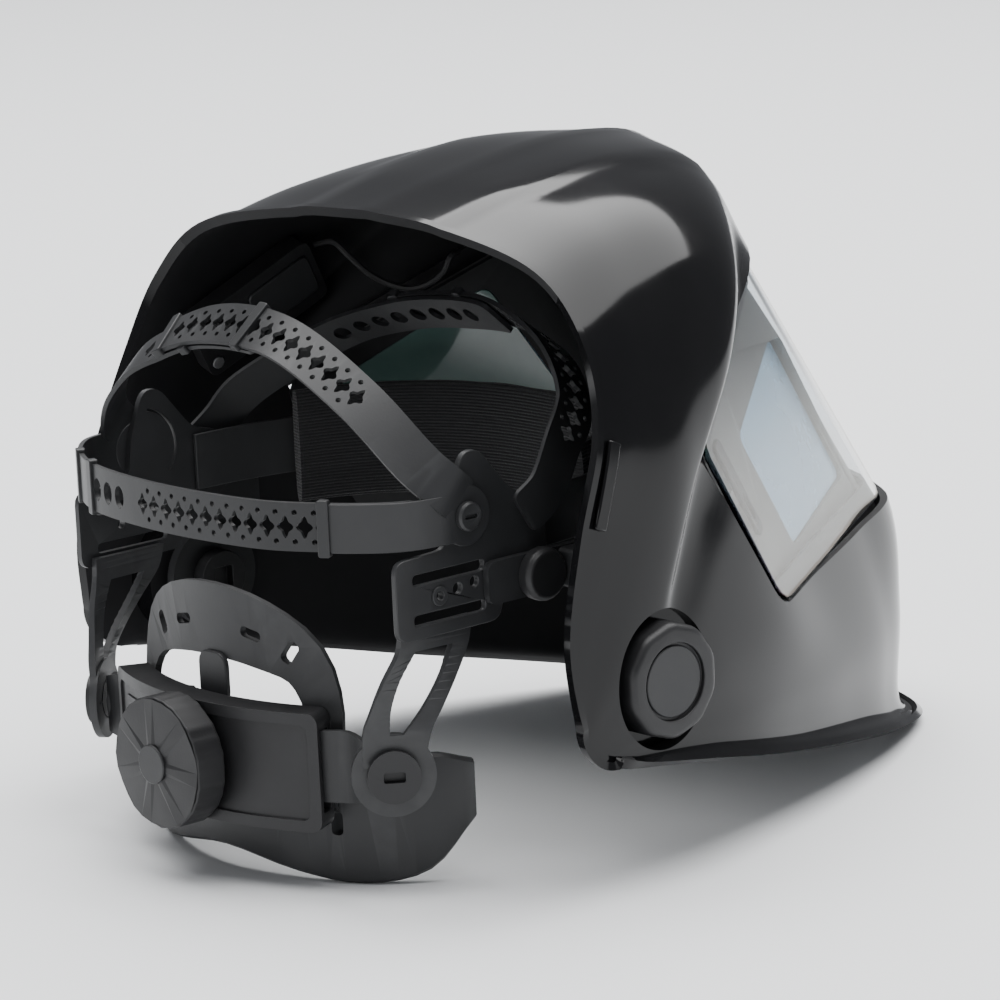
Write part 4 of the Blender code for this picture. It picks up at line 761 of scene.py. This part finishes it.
# ---- visor
def widened(bm, margin):
    """Moves a frame's outer border outward by a margin, so that it laps behind the wall around it."""
    bm.normal_update()
    middle = sum((v.co for v in bm.verts), Vector()) / len(bm.verts)
    pushes = {}
    for face in bm.faces:
        centre = face.calc_center_median()
        out = centre - middle
        border = min(edge.calc_length() for edge in face.edges) < 6 * MM
        top_or_bottom = abs(out.z) > 38 * MM or centre.y > PIVOT.y - 70 * MM
        if border and top_or_bottom and face.normal.dot(out.normalized()) > 0.35:
            for vert in face.verts:
                pushes.setdefault(vert, []).append(face.normal.copy())
    for vert, normals in pushes.items():
        vert.co += sum(normals, Vector()).normalized() * margin


SHADE_DEPTHS = (3.6 * MM, 5.4 * MM)
SHADE_BEHIND, SHADE_SHOWN = 5 * MM, 9 * MM      # past the border behind the wall, and inside the border


def visor_shade(rear, front, outward):
    """Dark strip behind the wall along a border of the visor, from rear corner to rear corner."""
    side_normal = side_pane_frame(1).col[2].xyz
    rise = (grounded(*TOP_REAR) - grounded(*BOTTOM_REAR)).normalized() * outward
    half = visor_line(rear, front)
    sections = []
    for k, point in enumerate(half):
        turn = min(max((k - 4) / 6, 0), 1)
        inward = -side_normal.lerp(front_pane_normal(), turn).normalized()
        near, far = (point + inward * depth for depth in SHADE_DEPTHS)
        sections.append([near + rise * SHADE_BEHIND, near - rise * SHADE_SHOWN,
                         far - rise * SHADE_SHOWN, far + rise * SHADE_BEHIND])
    mirrored = [[Vector((-p.x, p.y, p.z)) for p in section] for section in sections[-2::-1]]
    bm = bmesh.new()
    loops = [[bm.verts.new(p) for p in section] for section in sections + mirrored]
    for a, b in zip(loops, loops[1:]):
        for k in range(4):
            bm.faces.new((a[k], a[(k + 1) % 4], b[(k + 1) % 4], b[k]))
    bm.faces.new(loops[0])
    bm.faces.new(loops[-1])
    face_outward(bm)
    return bm


TABS_DOWN = (9, 34, 60)              # middles of the tabs down the cover's rear edge, in millimetres


def build_visor():
    """Clear cover with its side latches, and the frames and panes behind it."""
    refined("cover_lens", 0.5 * MM, smooth_angle=50)
    for node, margin in (("mask_frame", 3.5 * MM), ("inner_frame", 6 * MM)):
        bm = copy_of(node)
        widened(bm, margin)
        piece(f"{node}_body", bm, SLOT_OF[node], BODY_OF[node], 0.3 * MM, (node,), smooth_angle=50)
    for label, rear, front, outward in (("top", TOP_REAR, TOP_FRONT, 1),
                                        ("bottom", BOTTOM_REAR, BOTTOM_FRONT, -1)):
        piece(f"visor_shade_{label}", visor_shade(rear, front, outward), "black_plastic", "shell_body")
    for label in ("left", "right", "front"):
        refined(f"{label}_filter", 0.3 * MM)
        refined(f"{label}_inner_glass", 0.2 * MM)
    for side, label in SIDES:
        place = side_pane_frame(side)
        bar = plate(panel(7 * MM, 46 * MM, 2 * MM, (14 * MM, 36 * MM)), -4.6 * MM, -2.8 * MM, place)
        bar = carve(bar, plate(panel(3 * MM, 12 * MM, 1 * MM, (14 * MM, 48 * MM)), -6 * MM, -1 * MM, place))
        piece(f"cover_latch_{label}", bar, "black_plastic", "shell_body", 0.4 * MM)
        tabs = bmesh.new()
        for down in TABS_DOWN:
            join_into(tabs, plate(panel(5 * MM, 7 * MM, 1 * MM, (4.5 * MM, down * MM)), -5 * MM,
                                  -2.9 * MM, place))
        piece(f"cover_tabs_{label}", tabs, "mask_frame", "shell_body", 0.3 * MM)


# ---- knobs and controls
KNOB_RADIUS, FACE_RADIUS, CAP_RADIUS = 22.2 * MM, 14.6 * MM, 13.4 * MM


def rounded(bm, edges, offset):
    bmesh.ops.bevel(bm, geom=edges, affect="EDGES", offset=offset, segments=4, profile=0.5, material=-1)


def build_knobs():
    """Tension knobs with ten rounded sides and a raised ring, and the controls on the left wall."""
    for side, label in SIDES:
        node = f"tension_knob_{label}"
        low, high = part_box(node)
        foot, top = min(abs(low.x), abs(high.x)), max(abs(low.x), abs(high.x))
        place = lateral(side, 0, PIVOT.y, PIVOT.z)
        bm = plate(disc(KNOB_RADIUS, 10), foot, top)
        upright = [e for e in bm.edges if abs(e.verts[0].co.z - e.verts[1].co.z) > 1e-5]
        rounded(bm, upright, 3 * MM)
        rounded(bm, [e for e in bm.edges if min(v.co.z for v in e.verts) > top - 1e-5], 2.8 * MM)
        place_by(bm, place)
        face_outward(bm)
        height = top - 0.4 * MM
        bm = carve(bm, plate(disc(FACE_RADIUS, 64), height - 1.4 * MM, height + 5 * MM, place))
        bm = carve(bm, plate(disc(BOLT_RADIUS + TOUCH, 24), foot - 2 * MM, foot + 9 * MM, place))
        piece(f"{node}_body", bm, "black_plastic", BODY_OF[node], 0.3 * MM, (node,), smooth_angle=40)
        ring = plate(disc(CAP_RADIUS, 64), height - 2 * MM, height - 0.4 * MM, place)
        piece(f"{node}_cap", ring, "grey_plastic", BODY_OF[node], 0.5 * MM)
    for node in ("shade_knob", "grind_button", "control_box", "battery_lid", "box_screw_a", "box_screw_b"):
        refined(node, 0.5 * MM if "screw" not in node else 0.2 * MM)
    for label in ("left", "right"):
        for node, bevel in (("friction_washer", 0.3), ("pivot_bolt", 0.6), ("rim_tab", 0.7)):
            refined(f"{node}_{label}", bevel * MM, "gloss_shell" if node == "rim_tab" else None)
    NODES["control_wire"].data.materials.clear()
    NODES["control_wire"].data.materials.append(FINISH["wire_rubber"])


# ---- headgear
# The head's sizes and the front band's plan, in millimetres from the tilt axis.
HEAD_HALF_WIDTH, HEAD_BACK, HEAD_CENTRE = 97.6, 115, 20
BAND_HALF_WIDTH, BAND_DEPTH, BAND_WRAP, BAND_HEIGHT = 90.6, 105.9, 30, 56
BAND_POWER = 2 / 2.4
JUNCTION = (54, 65)                  # behind and above the tilt axis, in millimetres
TEMPLE_BLEND, CROWN_BLEND, CROWN_LIFT = 6, 60, 1.1
STRAP_WIDTH, STRAP_THICKNESS, STRAP_END_ROUND = 18 * MM, 1.8 * MM, 3 * MM
CLIP_LENGTH, CLIP_WIDTH, CLIP_INSIDE, CLIP_OUTSIDE = 4.5 * MM, 21 * MM, 2.4 * MM, 1.1 * MM
EYE_RADIUS = STRAP_WIDTH * 0.62
STRAP_LAP = 2.7 * MM
REAR_LAP, CROWN_LAP, LAP_BLEND = (0.66, 0.80), (0.42, 0.58), 0.08
REAR_PLAN = ((1, 0.42), (1, 0.50), (1, 0.58), (0.95, 0.72), (0.76, 0.86), (0.47, 0.96), (0, 1))
REAR_CROWN = ((97.6, 55, 70), (97.6, 62, 76), (91, 70, 84), (72, 79, 100), (44, 82, 118), (13, 79, 128),
              (-29, 80, 127), (-68, 78, 109), (-91, 71, 87), (-97.6, 63, 77), (-97.6, 55, 70))
FRONT_CROWN = ((97.6, 26, 60), (97.6, 14, 68), (94.5, 4, 79), (84, -10, 90), (66, -24, 102), (34, -30, 114),
               (0, -31, 119), (-36, -26, 120), (-70, -18, 111), (-88, -10, 95), (-95.5, 4, 82),
               (-97.6, 14, 68), (-97.6, 26, 60))


def at_pivot(x, y, z):
    return PIVOT + Vector((x, y, z)) * MM


def at_junction(side, x):
    """Frame on a strap junction, at a distance x from the middle plane, facing outward."""
    return lateral(side, x, PIVOT.y + JUNCTION[0] * MM, PIVOT.z + JUNCTION[1] * MM)


def head_normal(point):
    """Outward direction of the head: straight out at the temples, turning back and up from there."""
    x, y, z = (point - PIVOT) / MM
    turn = min(max((HEAD_HALF_WIDTH - abs(x)) / TEMPLE_BLEND, 0), 1)
    rise = min(max(z - JUNCTION[1], 0) / CROWN_BLEND, 1)
    temple = Vector((math.copysign(1, x), 0, 0))
    radial = Vector((x, y - HEAD_CENTRE, 0)).normalized()
    return (temple.lerp(radial, turn) + Vector((0, 0, CROWN_LIFT * rise * turn))).normalized()


def lapped_halves(line, start, end):
    """Routes of the left and right part of a strap that lap between two shares, the left one inside."""
    total = len(line) - 1
    centre = at_pivot(0, HEAD_CENTRE, BAND_HEIGHT)
    left = []
    for i, point in enumerate(line[:int(total * end) + 1]):
        tuck = min(max((i / total - start + LAP_BLEND) / LAP_BLEND, 0), 1)
        left.append(point + (centre - point).normalized() * STRAP_LAP * tuck * tuck * (3 - 2 * tuck))
    right = line[int(total * start):]
    return [Route(path, [head_normal(point) for point in path]) for path in (left, right)]


def strap_with(route, holes):
    """Strap along a route with the cutters in holes taken out of it."""
    bar = plate(panel(route.length, STRAP_WIDTH, STRAP_END_ROUND, (route.length / 2, 0)),
                -STRAP_THICKNESS, 0)
    if holes:
        cutters = bmesh.new()
        for made in holes:
            join_into(cutters, made)
        bar = carve(bar, cutters)
    return bend(bar, route)


def strap(name, route, holes, node, replaced=()):
    piece(name, strap_with(route, holes), "grey_plastic", BODY_OF[node], 0.25 * MM, replaced,
          smooth_angle=30)


def clip(name, route, share):
    """Loop across a strap that keeps the lapping end down."""
    bar = plate(panel(CLIP_LENGTH, CLIP_WIDTH, 0.8 * MM, (route.length * share, 0)), -CLIP_INSIDE,
                CLIP_OUTSIDE)
    piece(name, bend(bar, route), "grey_plastic", "headband", 0.3 * MM)


def build_straps():
    """Perforated rear and crown straps in their moulded halves, with the loops that hold the ends."""
    half = [at_pivot(x * HEAD_HALF_WIDTH, y * HEAD_BACK, JUNCTION[1]) for x, y in REAR_PLAN]
    level = lapped_halves(smooth_line(half + [Vector((-p.x, p.y, p.z)) for p in half[-2::-1]], 8),
                          *REAR_LAP)
    crown = lapped_halves(smooth_line([at_pivot(*p) for p in REAR_CROWN], 8), *CROWN_LAP)
    brow = lapped_halves(smooth_line([at_pivot(*p) for p in FRONT_CROWN], 8), *CROWN_LAP)
    for k, (side, label) in enumerate(SIDES):
        low, high = level[k], crown[k]
        front = brow[k]
        if k == 0:
            low_holes = [round_holes(low.length * 0.30, low.length * 0.48, 9 * MM, 3.2 * MM, (1.0, 1.35)),
                         star_holes(low.length * 0.48, low.length * 0.98)]
            high_holes = [star_holes(high.length * 0.50, high.length * 0.97)]
            front_holes = [round_holes(front.length * 0.42, front.length * 0.96, 11 * MM, 3.7 * MM)]
        else:
            low_holes = []
            high_holes = [star_holes(high.length * 0.04, high.length * 0.70)]
            front_holes = [star_holes(front.length * 0.30, front.length * 0.82)]
        node = f"rear_strap_{label}"
        strap(f"{node}_body", low, low_holes, node, (node,))
        strap(f"crown_strap_{label}", high, high_holes, node)
        eye = plate(disc(EYE_RADIUS, 40), 0.05 * MM - STRAP_THICKNESS, 0.1 * MM,
                    at_junction(side, HEAD_HALF_WIDTH * MM))
        piece(f"strap_eye_{label}", eye, "grey_plastic", BODY_OF[node], 0.25 * MM)
        node = f"front_crown_{label}"
        strap(f"{node}_body", front, front_holes, node, (node,))
    for name, route, share in (("rear_clip_a", level[1], 0.02), ("rear_clip_b", level[0], 0.33),
                               ("rear_clip_c", level[0], 0.24), ("crown_clip_a", crown[1], 0.02),
                               ("crown_clip_b", crown[1], 0.30), ("crown_clip_c", crown[0], 0.70),
                               ("brow_clip_a", brow[1], 0.03), ("brow_clip_b", brow[1], 0.24)):
        clip(name, route, share)
    for label in ("left", "right"):
        refined(f"junction_{label}", 0.3 * MM)


# Holes of a temple plate behind and above the tilt axis, with their radii, in millimetres; a boss is
# round the first.
PLATE_HOLES = ((67, 37.5, 1.7), (58, 38.5, 2.1), (50, 39.5, 2.0))
BOSS_RADIUS, STOP_SLOT_RADIUS = 3.6 * MM, 15.5 * MM


def build_plates():
    """Temple plates with their screw holes and curved stop slot, and the arms and latches on them."""
    for side, label in SIDES:
        place = lateral(side, 0, PIVOT.y, PIVOT.z)
        face = max(abs(corner.x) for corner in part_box(f"side_plate_{label}"))
        cutters = bmesh.new()
        for y, z, radius in PLATE_HOLES:
            hole = disc(radius * MM, 20, middle=(y * MM, z * MM))
            join_into(cutters, plate(hole, face - 5 * MM, face + 3 * MM, place))
        slot = bmesh.new()
        bmesh.ops.create_grid(slot, x_segments=1, y_segments=1, size=0.5)
        bmesh.ops.scale(slot, verts=slot.verts[:], vec=(1.1 * MM, 8 * MM, 1))
        bmesh.ops.rotate(slot, verts=slot.verts[:], matrix=Matrix.Rotation(math.pi / 2, 3, "X"))
        bmesh.ops.translate(slot, verts=slot.verts[:], vec=(STOP_SLOT_RADIUS, 0, 0))
        bmesh.ops.rotate(slot, verts=slot.verts[:], matrix=Matrix.Rotation(math.radians(100), 3, "Z"))
        bmesh.ops.spin(slot, geom=slot.faces[:], cent=(0, 0, 0), axis=(0, 0, 1), angle=math.radians(120),
                       steps=18, use_merge=False)
        face_outward(slot)
        place_by(slot, at_junction(side, face))
        join_into(cutters, slot)
        node = f"side_plate_{label}"
        bm = carve(copy_of(node), cutters)
        piece(f"{node}_body", bm, "grey_plastic", BODY_OF[node], 0.4 * MM, (node,))
        y, z, radius = PLATE_HOLES[0]
        middle = (y * MM, z * MM)
        boss = plate(disc(BOSS_RADIUS, 28, middle=middle), face - 0.5 * MM, face + 0.9 * MM, place)
        boss = carve(boss, plate(disc(radius * MM, 20, middle=middle), face - 2 * MM, face + 2 * MM, place))
        piece(f"plate_boss_{label}", boss, "grey_plastic", BODY_OF[node], 0.25 * MM)
        for node, bevel in (("pivot_arm", 0.5), ("latch", 0.5), ("rear_arm", 0.4), ("swivel_pin", 0.3),
                            ("band_end", 0.3)):
            refined(f"{node}_{label}", bevel * MM)
    refined("front_band", 0.3 * MM)


KNIT_HALF_HEIGHT, KNIT_HALF_DEPTH, KNIT_RIB, KNIT_RIBS = 22.6 * MM, 2.9 * MM, 0.14 * MM, 34


def build_sweatband():
    """Ribbed knit sleeve inside the front band: a padded strip with its ribs along it."""
    def section(bm):
        made = bmesh.ops.create_circle(bm, cap_ends=True, segments=272, radius=1)["verts"]
        for vert in made:
            x, y = vert.co.x, vert.co.y
            deep = math.copysign(abs(x) ** 0.45, x) * KNIT_HALF_DEPTH
            tall = y * KNIT_HALF_HEIGHT
            swell = KNIT_RIB * math.cos(math.pi * KNIT_RIBS * (y + 1))
            vert.co = Vector((deep + math.copysign(swell, x) * min(1, abs(x) * 3), tall, 0))

    line = []
    for k in range(1, 72):
        turn = math.pi * (0.105 + 0.79 * k / 72)
        c, s = math.cos(turn), math.sin(turn)
        across = math.copysign(abs(c) ** BAND_POWER * BAND_HALF_WIDTH, c)
        line.append(at_pivot(across, BAND_WRAP - s ** BAND_POWER * BAND_DEPTH, BAND_HEIGHT))
    route = Route(line, [Vector((p.x, p.y - PIVOT.y - HEAD_CENTRE * MM, 0)).normalized() for p in line])
    bm = plate(section, 0, route.length)
    bmesh.ops.rotate(bm, verts=bm.verts[:], matrix=Matrix(((0, 0, 1), (0, 1, 0), (-1, 0, 0))))
    bmesh.ops.translate(bm, verts=bm.verts[:], vec=(0, 0, -3.1 * MM))
    bm = bend(bm, route, 4 * MM)
    for vert in bm.verts:
        vert.co += Vector((0, 0, 0.5 * MM)) * noise.noise(vert.co * 60)
    band = piece("sweatband_knit", bm, "knit", BODY_OF["sweatband"], 0, ("sweatband",), smooth_angle=70)


# ---- ratchet unit
RATCHET_CENTRE = joint_of("ratchet_knob")["pos_m"]
BEHIND = Matrix(((-1, 0, 0, 0), (0, 0, 1, 0), (0, 1, 0, RATCHET_CENTRE[2]), (0, 0, 0, 1)))
# Slots: sideways from the middle and above the tilt axis, width, height and, in the cradle, lean.
CRADLE_SLOTS = ((-38, 12, 5, 9, 0.6), (-20, 17, 10, 4, 0.2), (20, 17, 10, 4, -0.2), (38, 12, 5, 9, -0.6))
NAPE_SLOTS = ((30, -42, 4, 9), (44, -40, 10, 4), (52, -52, 4, 9), (66, -44, 9, 4))


def facing_back(x, y, z):
    """Upright frame x and z millimetres from the tilt axis, at y metres, with its own Y up."""
    return Matrix.Translation((x * MM, y, PIVOT.z + z * MM)) @ Matrix.Rotation(math.pi / 2, 4, "X")


def petal_rim(angle):
    """Radius of the knob's rim as a share: fine knurls between seven shallow finger notches."""
    return 0.99 + 0.008 * math.cos(28 * angle) - 0.018 * max(0, math.cos(7 * angle)) ** 6


def build_ratchet():
    """Ratchet knob with its petals, the housing with its stepped border, and the cradle and nape pad."""
    low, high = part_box("ratchet_knob")
    foot, top = RATCHET_CENTRE[1] + TOUCH, high.y
    radius = (high.z - low.z) / 2
    knob = plate(disc(radius, 112, petal_rim), foot + 1 * MM, top - 2.4 * MM, BEHIND)
    crown = bmesh.new()
    made = bmesh.ops.create_cone(crown, cap_ends=True, segments=28, radius1=radius * 0.97,
                                 radius2=radius * 0.30,
                                 depth=2.4 * MM)["verts"]
    for vert in made:
        turn = math.atan2(vert.co.y, vert.co.x)
        fold = abs((turn / (2 * math.pi) * 7 + vert.co.z * 90) % 1 - 0.5) * 2
        vert.co.z += 0.9 * MM * (fold - 1) if vert.co.z > 0 else 0.8 * MM * (1 - fold)
    bmesh.ops.triangulate(crown, faces=[f for f in crown.faces if len(f.verts) == 4])
    bmesh.ops.transform(crown, matrix=BEHIND @ Matrix.Translation((0, 0, top - 1.2 * MM)), verts=made)
    face_outward(crown)
    shaft = plate(disc(6 * MM, 32), foot - 3 * MM, foot + 3 * MM, BEHIND)
    piece("ratchet_knob_body", knob, "black_plastic", BODY_OF["ratchet_knob"], 0.6 * MM, ("ratchet_knob",),
          smooth_angle=32)
    piece("ratchet_knob_petals", crown, "black_plastic", BODY_OF["ratchet_knob"], 0, smooth_angle=8)
    piece("ratchet_knob_shaft", shaft, "black_plastic", BODY_OF["ratchet_knob"], 0.3 * MM)
    refined("ratchet_cap", 0.4 * MM)
    build_housing()
    cutters = bmesh.new()
    for x, z, width, height, lean in CRADLE_SLOTS:
        slot = panel(width * MM, height * MM, 1.8 * MM)
        join_into(cutters, plate(slot, -0.2, 0.0, facing_back(x, 0, z) @ Matrix.Rotation(lean, 4, "Z")))
    bm = carve(copy_of("cradle"), cutters)
    piece("cradle_body", bm, "grey_plastic", BODY_OF["cradle"], 0.35 * MM, ("cradle",))
    place = facing_back(0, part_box("cradle")[1].y - 2.4 * MM, -2)
    tab = plate(panel(16 * MM, 20 * MM, 5 * MM), 0, 2.2 * MM, place)
    piece("cradle_tab", tab, "grey_plastic", BODY_OF["cradle"], 0.5 * MM)
    cutters = bmesh.new()
    for side in (-1, 1):
        for x, z, width, height in NAPE_SLOTS:
            slot = panel(width * MM, height * MM, 1.6 * MM)
            join_into(cutters, plate(slot, -0.25, 0.0, facing_back(side * x, 0, z)))
    bm = carve(copy_of("nape_pad"), cutters)
    piece("nape_pad_body", bm, "grey_plastic", BODY_OF["nape_pad"], 0.6 * MM, ("nape_pad",),
          smooth_angle=50)


def build_housing():
    """Housing bent to its arc, with a sunken middle behind a border and a channel for the bands."""
    low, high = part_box("ratchet_housing")
    bend_radius, thickness, half_chord, half_gap = 128 * MM, 11.5 * MM, 57 * MM, 3.2 * MM
    centre = Vector((0, high.y - bend_radius, (low.z + high.z) / 2))
    reach = math.asin(half_chord / (bend_radius - thickness / 2))
    line = []
    for k in range(33):
        angle = reach * (k / 16 - 1)
        line.append(centre + Vector((math.sin(angle), math.cos(angle), 0)) * bend_radius)
    route = Route(line, [(p - centre).normalized() for p in line])
    height, length = high.z - low.z, route.length
    bar = plate(panel(length, height, 4 * MM, (length / 2, 0)), -thickness, 0)
    sunk = plate(panel(length - 9 * MM, height - 9 * MM, 3 * MM, (length / 2, 0)), -1.1 * MM, 3 * MM)
    bar = carve(bar, sunk)
    channel = plate(panel(length * 1.2, 31 * MM, 1 * MM, (length / 2, 0)), -thickness / 2 - half_gap,
                    -thickness / 2 + half_gap)
    bar = carve(bar, channel)
    shaft = plate(disc(6.3 * MM, 32, middle=(length / 2, 0)), -4.5 * MM, 3 * MM)
    bar = carve(bar, shaft)
    piece("ratchet_housing_body", bend(bar, route, 3 * MM), "black_plastic", BODY_OF["ratchet_housing"],
          0.5 * MM,
          ("ratchet_housing",))
    ledges = bmesh.new()
    for across in (13 * MM, -13 * MM):
        ledge = panel(34 * MM, 1.6 * MM, 0.6 * MM, (length - 30 * MM, across))
        join_into(ledges, plate(ledge, -1.4 * MM, -0.5 * MM))
    piece("housing_ledges", bend(ledges, route, 3 * MM), "black_plastic", BODY_OF["ratchet_housing"],
          0.25 * MM)


build_camera()
build_studio()
build_shell()
build_visor()
build_knobs()
build_straps()
build_plates()
build_sweatband()
build_ratchet()
